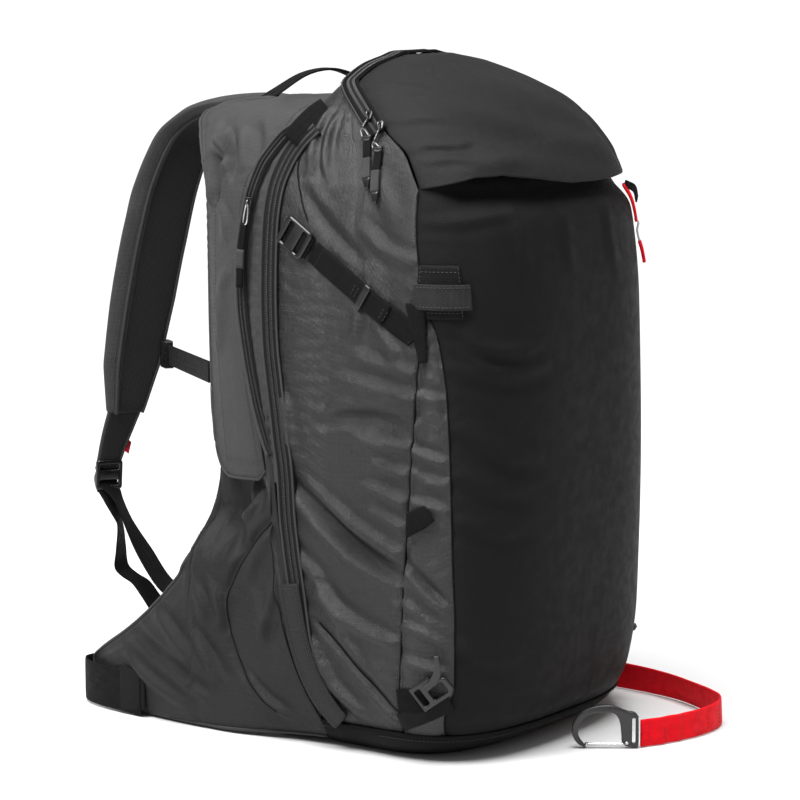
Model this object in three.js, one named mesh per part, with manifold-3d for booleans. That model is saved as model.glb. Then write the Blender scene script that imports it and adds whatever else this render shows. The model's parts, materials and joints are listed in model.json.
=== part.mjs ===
// Avalanche airbag backpack: millimetres, +Z up. The origin is on the floor, in the middle of the
// pack's width, under the back edge of the flat base. -Y is the outer front panel, +Y the harness,
// and -X the wearer's left, which carries the trigger handle.
import * as THREE from 'three';
import { mergeVertices } from 'three/addons/utils/BufferGeometryUtils.js';
import Module from 'manifold-3d';

const wasm = await Module();
wasm.setup();

// ---------------------------------------------------------------- driving dimensions
const HEIGHT = 606;
const WALL = 4;                 // fabric, foam and lining of the main bag
const GAP = 0.3;                // between pieces that touch
const FRONT_CORNER = 2.9;       // superellipse power of the bag's outline, towards the front
const BACK_CORNER = 7;          // and towards the flat back
const FRONT_Y = [[0, -112], [14, -140], [50, -160], [106, -169], [246, -174], [386, -172],
  [456, -166], [506, -150], [546, -119], [578, -76], [598, -34], [HEIGHT, -16]];
const BACK_Y = [[0, 18], [26, 20], [86, 33], [166, 52], [246, 62], [466, 66], [516, 60],
  [551, 46], [576, 34], [596, 24], [HEIGHT, 18]];
const HALF_WIDTH = [[0, 132], [14, 148], [50, 158], [126, 163], [246, 164], [386, 161],
  [466, 156], [516, 146], [552, 130], [578, 106], [598, 66], [HEIGHT, 26]];
const BAG_LEVELS = [0, 14, 50, 106, 176, 246, 316, 386, 456, 490, 516, 540, 562, 582, 597, HEIGHT];

const LID_EDGE = [[-88, 503], [-80.5, 516], [-70, 531], [-51, 544], [-23, 565], [12, 586]];
const LID_BACK_TOP = 640;
const FRONT_SEAM = [[-108, -2], [-115.5, 40], [-126, 74], [-127.6, 121], [-126, 183], [-124.5, 253],
  [-121, 322], [-114, 369], [-101, 407], [-92, 455], [-88, 503]];
const BASE_TOP = 24;

const UNIT_BACK = 122;          // the back unit's rear wall
const UNIT_WALL = 3;
const UNIT_HALF = 151;
const UNIT_TOP = 545;
const UNIT_LEVELS = [6, 30, 86, 166, 246, 356, 440, 466, 490, 516, UNIT_TOP];
const UNIT_LAP = 0.9;            // between the divider's rear face and the back unit
const UNIT_SHOULDER = [[6, 137], [440, 137], [490, 121], [516, 107], [545, 90]];
const STAY = { front: 113.2, back: 116.2, low: 32, top: 520, middle: 62, wide: 20 };
const BLOWER = { y: 90, z: 285, radius: 24, inner: 21.5, left: 92, right: 134 };
const WEB = 1.8;                // thickness of the narrow webbing

// ---------------------------------------------------------------- materials
const paint = (color, roughness, metalness = 0) =>
  new THREE.MeshStandardMaterial({ color, roughness, metalness });
const shellBlack = paint(0x262627, 0.72);
const shellGrey = paint(0x424345, 0.6);
const liningGrey = paint(0x56585a, 0.8);
const foamBlack = paint(0x1d1d1e, 0.9);
const webbingBlack = paint(0x1b1b1c, 0.75);
const webbingRed = paint(0xc4061c, 0.6);
const bagRed = paint(0xb3121d, 0.55);
const plasticBlack = paint(0x151516, 0.4);
const plasticGrey = paint(0x3a3c3e, 0.45);
const plasticClear = paint(0x9fb8c8, 0.15);
const coilBlack = paint(0x121213, 0.5);
const aluminium = paint(0xb9bcc0, 0.35, 1);
const steel = paint(0xc9cbce, 0.25, 1);

// ---------------------------------------------------------------- small maths
const V = (x, y, z) => new THREE.Vector3(x, y, z);
const mix = (a, b, t) => a + (b - a) * t;
const steps = (count) => Array.from({ length: count + 1 }, (_, i) => i / count);
const mirrored = (point) => V(-point.x, point.y, point.z);

/** Smooth curve through [at, value] keys that never overshoots between them. */
function profile(keys) {
  const rise = keys.slice(1).map((key, i) => (key[1] - keys[i][1]) / (key[0] - keys[i][0]));
  const slope = keys.map((_, i) => {
    const before = rise[Math.max(i - 1, 0)];
    const after = rise[Math.min(i, rise.length - 1)];
    return before * after > 0 ? (2 * before * after) / (before + after) : 0;
  });
  slope[0] = rise[0];
  slope[keys.length - 1] = rise[rise.length - 1];
  return (at) => {
    const x = Math.min(Math.max(at, keys[0][0]), keys[keys.length - 1][0]);
    let i = 0;
    while (i < keys.length - 2 && x > keys[i + 1][0]) i += 1;
    const span = keys[i + 1][0] - keys[i][0];
    const t = (x - keys[i][0]) / span;
    const rest = 1 - t;
    return keys[i][1] * (1 + 2 * t) * rest * rest + keys[i + 1][1] * t * t * (3 - 2 * t)
      + span * slope[i] * t * rest * rest - span * slope[i + 1] * t * t * rest;
  };
}

// ---------------------------------------------------------------- closed solids
function volumeOf(points, faces) {
  return faces.reduce((sum, [a, b, c]) =>
    sum + points[a].dot(new THREE.Vector3().crossVectors(points[b], points[c])), 0);
}

function closedGeometry(points, faces) {
  const outward = volumeOf(points, faces) > 0;
  const index = faces.flatMap(([a, b, c]) => (outward ? [a, b, c] : [a, c, b]));
  const geometry = new THREE.BufferGeometry();
  const numbers = new Float32Array(points.flatMap((point) => point.toArray()));
  geometry.setAttribute('position', new THREE.BufferAttribute(numbers, 3));
  geometry.setIndex(index);
  return geometry;
}

/** Skin over rings of equal, even count, with both end rings closed across in strips. */
function loft(rings) {
  const count = rings[0].length;
  const faces = [];
  const quad = (a, b, c, d) => faces.push([a, b, c], [a, c, d]);
  for (let level = 0; level < rings.length - 1; level += 1) {
    for (let i = 0; i < count; i += 1) {
      const next = (i + 1) % count;
      const low = level * count;
      quad(low + i, low + next, low + count + next, low + count + i);
    }
  }
  const last = (rings.length - 1) * count;
  for (let i = 0; i < count / 2 - 1; i += 1) {
    quad(i, count - 1 - i, count - 2 - i, i + 1);
    quad(last + i, last + i + 1, last + count - 2 - i, last + count - 1 - i);
  }
  return closedGeometry(rings.flat(), faces);
}

/** Sheet of even thickness over a grid of points; `toward` says which way its outer face looks. */
function sheet(grid, thick, lift, toward) {
  const rows = grid.length;
  const columns = grid[0].length;
  const at = (i, j) => grid[Math.min(Math.max(i, 0), rows - 1)][Math.min(Math.max(j, 0), columns - 1)];
  const normal = (i, j) => {
    const down = at(i + 1, j).clone().sub(at(i - 1, j));
    const across = at(i, j + 1).clone().sub(at(i, j - 1));
    return down.cross(across).normalize();
  };
  const middle = normal(Math.floor(rows / 2), Math.floor(columns / 2));
  const sign = middle.dot(toward) < 0 ? -1 : 1;
  const rings = grid.map((row, i) => {
    const under = row.map((point, j) => point.clone().addScaledVector(normal(i, j), sign * lift));
    const over = row.map((point, j) =>
      point.clone().addScaledVector(normal(i, j), sign * (lift + thick)));
    return [...under, ...over.reverse()];
  });
  return loft(rings);
}

function solid(geometry) {
  const plain = geometry.clone();
  plain.deleteAttribute('normal');
  plain.deleteAttribute('uv');
  const merged = mergeVertices(plain, 1e-4);
  return new wasm.Manifold(new wasm.Mesh({
    numProp: 3,
    vertProperties: new Float32Array(merged.attributes.position.array),
    triVerts: new Uint32Array(merged.index.array),
  }));
}

function geometryOf(manifold) {
  const { vertProperties, triVerts } = manifold.getMesh();
  const geometry = new THREE.BufferGeometry();
  geometry.setAttribute('position', new THREE.BufferAttribute(new Float32Array(vertProperties), 3));
  geometry.setIndex(new THREE.BufferAttribute(new Uint32Array(triVerts), 1));
  return geometry;
}

const together = (...geometries) =>
  geometryOf(geometries.map(solid).reduce((sum, piece) => sum.add(piece)));
const cutFrom = (body, ...tools) =>
  geometryOf(tools.map(solid).reduce((rest, tool) => rest.subtract(tool), solid(body)));

/** Box between two corners. */
function block(low, high) {
  const size = high.clone().sub(low);
  const box = new THREE.BoxGeometry(size.x, size.y, size.z);
  const middle = low.clone().add(high).multiplyScalar(0.5);
  return box.translate(middle.x, middle.y, middle.z);
}

/** Outline of [y, z] points pushed along X from x0 to x1. */
function prismX(outline, x0, x1) {
  const shape = new THREE.Shape(outline.map(([y, z]) => new THREE.Vector2(y, z)));
  const geometry = new THREE.ExtrudeGeometry(shape, { depth: x1 - x0, bevelEnabled: false });
  geometry.applyMatrix4(new THREE.Matrix4().makeBasis(V(0, 1, 0), V(0, 0, 1), V(1, 0, 0)));
  return geometry.translate(x0, 0, 0);
}

/** Flat plate in local XY with rounded corners and optional holes, centred on the origin. */
function plate(length, width, thick, corner, holes = []) {
  const a = length / 2;
  const b = width / 2;
  const shape = new THREE.Shape();
  shape.absarc(a - corner, -b + corner, corner, -Math.PI / 2, 0, false);
  shape.absarc(a - corner, b - corner, corner, 0, Math.PI / 2, false);
  shape.absarc(-a + corner, b - corner, corner, Math.PI / 2, Math.PI, false);
  shape.absarc(-a + corner, -b + corner, corner, Math.PI, Math.PI * 1.5, false);
  const options = { depth: thick, bevelEnabled: false, curveSegments: 4 };
  const body = new THREE.ExtrudeGeometry(shape, options).translate(0, 0, -thick / 2);
  const slots = holes.map(([x0, x1, y0, y1]) => block(V(x0, y0, -thick), V(x1, y1, thick)));
  return slots.length ? cutFrom(body, ...slots) : body;
}

/** Round bar along a smooth curve, with an even number of sides. */
function bar(points, radius, sides, count) {
  const shape = new THREE.Shape().absarc(0, 0, radius, 0, Math.PI * 2, false);
  const curve = new THREE.CatmullRomCurve3(points);
  const options = { steps: count, extrudePath: curve, curveSegments: sides / 2, bevelEnabled: false };
  return new THREE.ExtrudeGeometry(shape, options);
}

// ---------------------------------------------------------------- the bag's surface
const frontY = profile(FRONT_Y);
const backY = profile(BACK_Y);
const halfWidth = profile(HALF_WIDTH);
const midY = (z) => mix(frontY(z), backY(z), 0.58);

/** Point on the bag at height z: angle 0 is its left side, 90 degrees its front, 180 its right. */
function bagRim(angle, z) {
  const side = Math.cos(angle);
  const ahead = Math.sin(angle);
  const power = 2 / (ahead >= 0 ? FRONT_CORNER : BACK_CORNER);
  const depth = ahead >= 0 ? frontY(z) - midY(z) : backY(z) - midY(z);
  const x = -halfWidth(z) * Math.sign(side) * Math.abs(side) ** power;
  return V(x, midY(z) + depth * Math.abs(ahead) ** power, z);
}

function bagNormal(angle, z) {
  const turn = bagRim(angle + 0.02, z).sub(bagRim(angle - 0.02, z));
  const low = Math.max(z - 1, 0);
  const high = Math.min(z + 1, HEIGHT);
  return turn.cross(bagRim(angle, high).sub(bagRim(angle, low))).normalize();
}

const bagPoint = (angle, z, lift) => bagRim(angle, z).addScaledVector(bagNormal(angle, z), lift);

/** Angle of the left side's surface at depth y and height z. */
function sideAngle(y, z) {
  const ahead = y <= midY(z);
  const edge = ahead ? frontY(z) : backY(z);
  const share = Math.min(Math.abs((y - midY(z)) / (edge - midY(z))), 1);
  const angle = Math.asin(share ** ((ahead ? FRONT_CORNER : BACK_CORNER) / 2));
  return ahead ? angle : -angle;
}

/** Angle of the front's surface at x and height z. */
function frontAngle(x, z) {
  const share = Math.min(Math.abs(x / halfWidth(z)), 1) ** (FRONT_CORNER / 2);
  return x <= 0 ? Math.acos(share) : Math.PI - Math.acos(share);
}

const onSide = (y, z, lift) => bagPoint(sideAngle(y, z), z, lift);

// ---------------------------------------------------------------- the scene graph
const pack = new THREE.Group();
pack.name = 'avalanche_airbag_backpack';

function add(name, geometry, material, parent = pack) {
  const mesh = new THREE.Mesh(geometry, material);
  mesh.name = name;
  parent.add(mesh);
  return mesh;
}

/** Empty group whose local X, Y and Z lie along the given directions. */
function placed(origin, xAxis, yAxis) {
  const x = xAxis.clone().normalize();
  const z = x.clone().cross(yAxis).normalize();
  const y = z.clone().cross(x);
  const group = new THREE.Group();
  group.position.copy(origin);
  group.quaternion.setFromRotationMatrix(new THREE.Matrix4().makeBasis(x, y, z));
  pack.add(group);
  return group;
}

// ---------------------------------------------------------------- main bag
const FRONT_STEPS = 22;         // from the left side round the front to the right side
const REAR_STEPS = 8;
const ringAngles = [...steps(FRONT_STEPS).map((t) => t * Math.PI),
  ...steps(REAR_STEPS).slice(1, -1).map((t) => Math.PI * (1 + t))];

function bagSkin(lift) {
  const rings = BAG_LEVELS.map((z) => ringAngles.map((angle) => {
    const point = bagPoint(angle, z, lift);
    point.z = Math.min(Math.max(point.z, z === 0 ? -lift : 0), HEIGHT + lift);
    return point;
  }));
  return loft(rings);
}

function lidRegion(grow) {
  const edge = LID_EDGE.map(([y, z]) => [y + grow, z - grow]);
  const front = [-230, LID_EDGE[0][1] - grow];
  return prismX([front, ...edge, [12 + grow, LID_BACK_TOP], [-230, LID_BACK_TOP]], -200, 200);
}

function frontRegion(shift) {
  const seam = FRONT_SEAM.map(([y, z]) => [y + shift, z]);
  const top = [seam[seam.length - 1][0], LID_BACK_TOP];
  return prismX([[-230, -2], ...seam, top, [-230, LID_BACK_TOP]], -200, 200);
}

function dividerRegion(ahead) {
  const levels = [BASE_TOP, 86, 166, 246, 356, 466, 516, 551];
  const wall = levels.map((z) => [backY(z) - ahead, z]);
  const behind = [[150, 551], [150, BASE_TOP]];
  return prismX([...wall, ...behind], -200, 200);
}

function makeMainBag() {
  const shell = solid(bagSkin(0)).subtract(solid(bagSkin(-WALL)));
  const everything = (low, high) => solid(block(low, high));
  const base = everything(V(-200, -220, -10), V(200, 200, BASE_TOP - GAP));
  const belowBase = everything(V(-200, -220, -10), V(200, 200, BASE_TOP));
  const divider = solid(dividerRegion(WALL + 0.5));
  const dividerGrown = solid(dividerRegion(WALL + 0.5 + GAP));
  const collar = everything(V(-88, 12 + GAP, 556), V(88, 120, 640));
  const collarGrown = everything(V(-88 - GAP, 0, 556 - GAP), V(88 + GAP, 120, 640));
  const upper = shell.subtract(belowBase).subtract(solid(lidRegion(GAP)));
  const sides = upper.subtract(dividerGrown).subtract(solid(frontRegion(GAP))).subtract(collarGrown);
  add('front_panel', geometryOf(upper.intersect(solid(frontRegion(0)))), shellBlack);
  add('left_side_panel',
    geometryOf(sides.intersect(everything(V(-200, -220, 0), V(-1, 200, 640)))), shellGrey);
  add('right_side_panel',
    geometryOf(sides.intersect(everything(V(1, -220, 0), V(200, 200, 640)))), shellGrey);
  add('base_panel', geometryOf(shell.intersect(base)), shellBlack);
  add('top_rear_panel', geometryOf(upper.intersect(collar).subtract(dividerGrown)), shellGrey);
  add('divider_panel', geometryOf(upper.intersect(divider)), liningGrey);
  add('lid_panel', geometryOf(shell.intersect(solid(lidRegion(0)))), shellBlack);
}

// ---------------------------------------------------------------- back unit
const unitShoulder = profile(UNIT_SHOULDER);

/** Outline of the back unit at height z, drawn in by `inset`, its front edge at `front`. */
function unitRing(z, inset, front) {
  const half = Math.min(halfWidth(z) - 2, UNIT_HALF);
  const shoulder = unitShoulder(z);
  const side = [[half, 0], [Math.min(half - 0.5, shoulder + 14), 0.14], [shoulder, 0.42],
    [shoulder - 7, 0.8], [shoulder - 14, 1]];
  const depth = UNIT_BACK - (backY(z) + UNIT_LAP);
  const left = side.map(([x, t], i) =>
    V(-(x - inset), i === 0 ? front : backY(z) + UNIT_LAP + depth * t - (i === 4 ? inset : 0), z));
  return [...left, ...left.map(mirrored).reverse()];
}

function makeBackUnit() {
  const outer = loft(UNIT_LEVELS.map((z) => unitRing(z, 0, backY(z) + UNIT_LAP)));
  const last = UNIT_LEVELS.length - 1;
  const inner = loft(UNIT_LEVELS.map((z, i) => {
    const level = z + (i === 0 ? UNIT_WALL : 0) - (i === last ? UNIT_WALL : 0);
    return unitRing(level, UNIT_WALL, backY(level) - 6);
  }));
  const intakeRadius = BLOWER.radius + 0.5;
  const intake = new THREE.CylinderGeometry(intakeRadius, intakeRadius, 40, 24).rotateZ(Math.PI / 2);
  intake.translate(UNIT_HALF - 8, BLOWER.y, BLOWER.z);
  add('back_unit_shell', cutFrom(outer, inner, intake), shellGrey);
  add('frame_sheet', block(V(-104, 116.6, 26), V(104, 118.6, 468)), plasticGrey);
  const { front, back, low, top, middle, wide } = STAY;
  const stay = (x) => block(V(x - wide / 2, front, low), V(x + wide / 2, back, top));
  const reach = middle + wide / 2;
  const crossbar = block(V(-reach, front, top - wide), V(reach, back, top));
  add('frame_stay', together(stay(-middle), stay(middle), crossbar), aluminium);
  const pad = plate(196, 330, 13, 26).rotateX(Math.PI / 2).translate(0, UNIT_BACK + 7, 345);
  add('back_pad', pad, foamBlack);
  const lumbar = plate(220, 120, 20, 26).rotateX(Math.PI / 2).translate(0, UNIT_BACK + 10.5, 104);
  add('lumbar_pad', lumbar, foamBlack);
}

// ---------------------------------------------------------------- airbag system
const turnedToX = (geometry) => geometry.rotateZ(-Math.PI / 2);

function makeBlower() {
  const { y, z, radius, inner, left, right } = BLOWER;
  const depth = right - left;
  const cup = turnedToX(new THREE.LatheGeometry([[3.4, 0], [radius, 0], [radius, depth],
    [inner, depth], [inner, 2.5], [3.4, 2.5], [3.4, 0]].map(([r, h]) => new THREE.Vector2(r, h)), 24));
  const outlet = block(V(12, 0, -9), V(32, radius + 4, 9)).rotateX(Math.PI / 2);
  add('blower_housing', cutFrom(cup.translate(left, y, z), outlet.translate(left, y, z)), plasticBlack);

  const shaft = turnedToX(new THREE.CylinderGeometry(2, 2, 22, 16)).translate(left - 1, y, z);
  const hub = turnedToX(new THREE.CylinderGeometry(8, 8, 24, 16)).translate(left + 18, y, z);
  const disc = turnedToX(new THREE.CylinderGeometry(20, 20, 2, 24)).translate(left + 7, y, z);
  const blades = steps(7).map((t) => block(V(7, 6, -0.8), V(30, 20, 0.8))
    .rotateX(t * (7 / 8) * Math.PI * 2).translate(left, y, z));
  add('impeller', together(shaft, hub, disc, ...blades), plasticGrey);

  const motor = turnedToX(new THREE.LatheGeometry([[2.1, 0], [15, 0], [15, 30], [2.1, 30], [2.1, 0]]
    .map(([r, h]) => new THREE.Vector2(r, h)), 24)).translate(left - 30.4, y, z);
  add('blower_motor', motor, steel);

  const slots = [-14, -8, -2, 4, 10].map((v) => [-15, 15, v, v + 3.6]);
  const grille = plate(46, 46, 2.5, 22.5, slots);
  const mount = placed(V(right + 4, y, z), V(0, 1, 0), V(0, 0, 1));
  add('intake_grille', grille, plasticBlack, mount);
}

function makeAirSystem() {
  const { y, z, radius, left } = BLOWER;
  const ductLow = z + radius + 0.6;
  const ductTop = ductLow + 34;
  const tube = plate(22, 20, ductTop - ductLow, 1, [[-9, 9, -8, 8]]);
  tube.translate(left + 22, y, (ductLow + ductTop) / 2);
  add('outlet_duct', tube, plasticBlack);
  const flap = block(V(left + 11.5, y - 9.5, ductTop + GAP), V(left + 32.5, y + 9.5, ductTop + 1.8));
  add('check_valve_flap', flap, webbingBlack);

  const bundle = [[-116, 0.55], [-104, 0.9], [-60, 1], [60, 1], [104, 0.9], [116, 0.55]]
    .map(([x, size]) => steps(13).slice(0, 14).map((t) => {
      const angle = t * (13 / 14) * Math.PI * 2;
      const round = (value) => Math.sign(value) * Math.abs(value) ** 0.5;
      return V(x, 91 + 18 * size * round(Math.cos(angle)), 448 + 66 * size * round(Math.sin(angle)));
    }));
  add('folded_airbag', loft(bundle), bagRed);

  add('battery_pack', plate(84, 92, 34, 6).rotateX(Math.PI / 2).translate(-66, 91, 110), plasticBlack);
  add('control_unit', plate(70, 54, 26, 5).rotateX(Math.PI / 2).translate(40, 92, 110), plasticGrey);
}

// ---------------------------------------------------------------- left shoulder strap with the trigger
// Each station is [front edge, back edge] of the strap's outer face, from the yoke to its lower end.
const LEFT_STRAP = [
  [V(-127, 58, 536), V(-103, 178, 534)],
  [V(-141, 74, 516), V(-118, 166, 512)],
  [V(-150, 87, 490), V(-127, 154, 484)],
  [V(-155, 92, 440), V(-133, 148, 436)],
  [V(-156, 92, 380), V(-136, 145, 378)],
  [V(-156, 91, 310), V(-137, 143, 308)],
  [V(-156, 89, 236), V(-139, 140, 232)],
];
const STRAP_COVER = 1.2;
const TRIGGER_ROOM = 8;
const STRAP_FOAM = 5;
const POCKET_MIDDLE = V(-141.2, 114.7, 0);   // the trigger's pocket, between cover and foam

function makeLeftStrap() {
  const outward = V(-1, 0.3, 0);
  const padLift = -(STRAP_COVER + TRIGGER_ROOM + STRAP_FOAM);
  add('left_strap_cover', sheet(LEFT_STRAP, STRAP_COVER, -STRAP_COVER, outward), shellGrey);
  add('left_shoulder_pad', sheet(LEFT_STRAP.slice(1), STRAP_FOAM, padLift, outward), foamBlack);

  const pocket = placed(POCKET_MIDDLE, V(0.35, 0.937, 0), V(0, 0, -1));
  const switchZ = -345;
  const body = plate(30, 44, 6.6, 4).translate(0, switchZ, 0);
  const well = new THREE.CylinderGeometry(7.3, 7.3, 6, 20).rotateX(Math.PI / 2);
  well.translate(0, switchZ + 8, 3.3);
  const lensWell = block(V(-6.4, switchZ - 14.4, 1.7), V(6.4, switchZ - 9.6, 5));
  add('switch_housing', cutFrom(body, well, lensWell), plasticBlack, pocket);
  const button = new THREE.CylinderGeometry(6.9, 6.9, 1.6, 20).rotateX(Math.PI / 2);
  add('power_button', button.translate(0, switchZ + 8, 2.9), plasticGrey, pocket);
  const lens = block(V(-6, switchZ - 14, 2), V(6, switchZ - 10, 3.2));
  add('status_light', lens, plasticClear, pocket);
  const grip = plate(22, 54, 5.2, 8).translate(0, -268, 0);
  const stem = plate(9, 18, 4, 2).translate(0, -303, 0);
  add('trigger_handle', together(grip, stem), webbingRed, pocket);

  const inPocket = ([front, back], z) => V(mix(front.x, back.x, 0.55) + 4.6,
    mix(front.y, back.y, 0.55) - 1.6, z);
  const route = [inPocket(LEFT_STRAP[5], 368.5), inPocket(LEFT_STRAP[4], 385),
    inPocket(LEFT_STRAP[3], 440), inPocket(LEFT_STRAP[2], 486), inPocket(LEFT_STRAP[1], 510)];
  add('trigger_cable', bar(route, 1.4, 6, 12), plasticBlack);
}

// ---------------------------------------------------------------- yoke and right shoulder strap
// Each station is [middle, half of the width across], from the yoke to the strap's lower end.
const RIGHT_STRAP = [
  [V(76, 187, 548), V(32, 0, 0)],
  [V(73, 240, 552), V(31, -3, 0)],
  [V(68, 290, 545), V(30, -9, 0)],
  [V(62, 328, 520), V(28, -14, 0)],
  [V(57, 352, 472), V(26, -18, 0)],
  [V(54, 369, 412), V(26, -19, 0)],
  [V(52, 383, 350), V(25, -19, 0)],
  [V(50, 396, 286), V(22, -17, 0)],
  [V(49, 405, 236), V(14, -11, 0)],
];
const STRAP_THICK = 13;
const RIGHT_WEB_HALF = V(8, -6, 0);
const RIGHT_LOCK = V(51, 428, 171);

function makeYoke() {
  const rows = steps(6).map((u) => steps(5).map((v) => {
    const x = mix(-116, 116, u);
    const y = mix(49, 184, v);
    const crown = 6 * (1 - (2 * u - 1) ** 2) - 9 * v * v;
    return V(x, y, 549 + crown);
  }));
  add('yoke_panel', sheet(rows, 9, 0, V(0, 0, 1)), shellGrey);
  const loop = [V(-64, 138, 561.6), V(-46, 136, 571), V(-12, 132, 584), V(24, 130, 587),
    V(58, 131, 580), V(76, 132, 571), V(84, 134, 561.6)];
  const pairs = loop.map((point) => [V(point.x, point.y - 9, point.z), V(point.x, point.y + 9, point.z)]);
  add('haul_loop', sheet(pairs, 2, 0, V(0, 0, 1)), webbingBlack);
}

function makeRightStrap() {
  const pairs = RIGHT_STRAP.map(([middle, half]) =>
    [middle.clone().sub(half), middle.clone().add(half)]);
  const pad = sheet(pairs, STRAP_THICK, -STRAP_THICK / 2, V(0.5, 1, 0.3));

  const webPairs = (points) => points.map((point) =>
    [point.clone().sub(RIGHT_WEB_HALF), point.clone().add(RIGHT_WEB_HALF)]);
  const stub = webPairs([V(49, 404, 242), V(49.4, 412, 225), V(50, 420, 205), V(50.6, 425, 189)]);
  add('right_shoulder_pad', together(pad, sheet(stub, WEB, 0, V(0, 1, 0.2))), foamBlack);
  const lower = webPairs([V(53, 420, 150), V(56, 406, 121), V(61, 391, 94), V(68, 369, 62),
    V(76, 345, 54), V(92, 276, 51.5), V(104, 206, 43), V(110, 144, 30)]);
  add('right_lower_webbing', sheet(lower, WEB, 0, V(0, 1, 1)), webbingBlack);
  const lock = placed(RIGHT_LOCK, RIGHT_WEB_HALF, V(0.02, -0.25, 1));
  add('right_ladder_lock', plate(27, 32, 4.5, 3, [[-9.5, 9.5, -11, -5.5], [-9.5, 9.5, 5.5, 11]]),
    plasticBlack, lock);
  const tail = webPairs([V(52, 431, 151), V(51, 424, 130), V(51, 418, 108), V(51, 414, 88),
    V(52, 411, 70), V(54, 404, 54), V(58, 392, 42), V(64, 378, 33)]);
  add('right_strap_tail', sheet(tail, WEB, 0, V(0, 1, 0.2)), webbingBlack);
}

// ---------------------------------------------------------------- side-release buckles
/** Socket half: its mouth looks along local +X, its webbing end is at -X. */
function buckleSocket(width, thick) {
  const length = width * 0.95;
  const body = plate(length, width, thick, 3).translate(-length / 2, 0, 0);
  const mouth = block(V(-length + 7, -width / 2 + 2.5, -thick / 2 + 1.6),
    V(5, width / 2 - 2.5, thick / 2 - 1.6));
  return cutFrom(body, mouth);
}

/** Prong half: its arms point along local -X, into the socket, and its webbing end is at +X. */
function bucklePlug(width, thick) {
  const reach = width * 0.62;
  const arm = thick / 2 - 2.1;
  const base = plate(12, width, thick, 2, [[-2, 2, -width / 2 + 4, width / 2 - 4]]);
  const side = (y) => block(V(-reach, y - 2.2, -arm), V(1, y + 2.2, arm));
  return together(base.translate(6.4, 0, 0), side(-width / 2 + 5.4), side(width / 2 - 5.4),
    side(0));
}

// ---------------------------------------------------------------- sternum strap
const STERNUM_LEFT = V(-135.5, 147.5, 322);
const STERNUM_RIGHT = V(69, 370, 297);

function makeSternum() {
  const line = STERNUM_LEFT.clone().sub(STERNUM_RIGHT);
  const direction = line.clone().normalize();
  const tall = V(0, 0, 10);
  const face = V(0.74, -0.67, 0);
  const between = (from, to) => [from, to].map((distance) => {
    const point = STERNUM_RIGHT.clone().addScaledVector(direction, distance);
    return [point.clone().sub(tall), point.clone().add(tall)];
  });
  const socket = 28;
  const mount = placed(STERNUM_RIGHT.clone().addScaledVector(direction, socket), direction, V(0, 0, 1));
  add('sternum_buckle_female', buckleSocket(27, 8), plasticBlack, mount);
  add('sternum_buckle_male', bucklePlug(27, 8), plasticBlack, mount);
  add('sternum_webbing', sheet(between(socket + 14, line.length()), WEB, -WEB / 2, face),
    webbingBlack);
}

// ---------------------------------------------------------------- hip fins
const FIN_ROOT = 101;
const FIN_TOP = profile([[FIN_ROOT, 226], [145, 176], [161, 148], [180, 128], [209, 98], [239, 74],
  [270, 53], [286, 42]]);
const FIN_BOTTOM = profile([[FIN_ROOT, 5], [174, 2], [234, 0], [270, 1], [286, 8]]);
const FIN_X = profile([[FIN_ROOT, 151], [150, 151], [200, 147], [250, 139], [286, 129]]);
const FIN_THICK = 11;
const WAIST_WEB = 2;
const WAIST_HALF = 19.5;
const WAIST_PATH = [V(-163.2, 208, 0), V(-161.6, 232, 0), V(-157, 262, 0), V(-149, 284, 0),
  V(-137, 296, 0), V(-122, 293, 0), V(-112, 277, 0), V(-106, 256, 0), V(-97, 242, 0),
  V(-82, 236, 0), V(-66, 236, 0)];

function makeHip(side) {
  const word = side < 0 ? 'left' : 'right';
  const place = (point) => (side < 0 ? point : mirrored(point));
  const grid = steps(9).map((u) => steps(4).map((v) => {
    const y = mix(FIN_ROOT, 286, u);
    return place(V(-FIN_X(y), y, mix(FIN_BOTTOM(y), FIN_TOP(y), v)));
  }));
  add(`${word}_hip_fin`, sheet(grid, FIN_THICK, 0, V(side, 0.1, 0)), shellGrey);
  const pairs = WAIST_PATH.map((point) => [place(V(point.x, point.y, 2)),
    place(V(point.x, point.y, 2 + WAIST_HALF * 2))]);
  add(`${word}_hip_webbing`, sheet(pairs, WAIST_WEB, 0, V(side, 0.3, 0)), webbingBlack);
  const end = WAIST_PATH[WAIST_PATH.length - 1];
  const back = end.clone().sub(WAIST_PATH[WAIST_PATH.length - 2]).normalize();
  const middle = V(end.x, end.y, 2 + WAIST_HALF);
  if (side < 0) {
    const mount = placed(middle.addScaledVector(back, 44), back, V(0, 0, 1));
    add('waist_buckle_female', buckleSocket(44, 11), plasticBlack, mount);
  } else {
    const inward = V(-back.x, back.y, 0);
    const mount = placed(mirrored(middle).addScaledVector(inward, 14), inward.clone().negate(),
      V(0, 0, 1));
    add('waist_buckle_male', bucklePlug(44, 11), plasticBlack, mount);
  }
}

// ---------------------------------------------------------------- straps and trim on the bag
/** Strip on the bag's left side around a line of [y, z] points, `wide` across, and its mirror. */
function sideStrip(line, wide, thick, lift) {
  const grid = line.map(([y, z], i) => {
    const before = line[Math.max(i - 1, 0)];
    const after = line[Math.min(i + 1, line.length - 1)];
    const turn = new THREE.Vector2(after[0] - before[0], after[1] - before[1]).normalize();
    const half = wide / 2;
    return [onSide(y - turn.y * half, z + turn.x * half, lift),
      onSide(y + turn.y * half, z - turn.x * half, lift)];
  });
  return [sheet(grid, thick, 0, V(-1, 0, 0)),
    sheet(grid.map((row) => row.map(mirrored)), thick, 0, V(1, 0, 0))];
}

const stretch = (from, to, count) =>
  steps(count).map((t) => [mix(from[0], to[0], t), mix(from[1], to[1], t)]);

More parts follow.
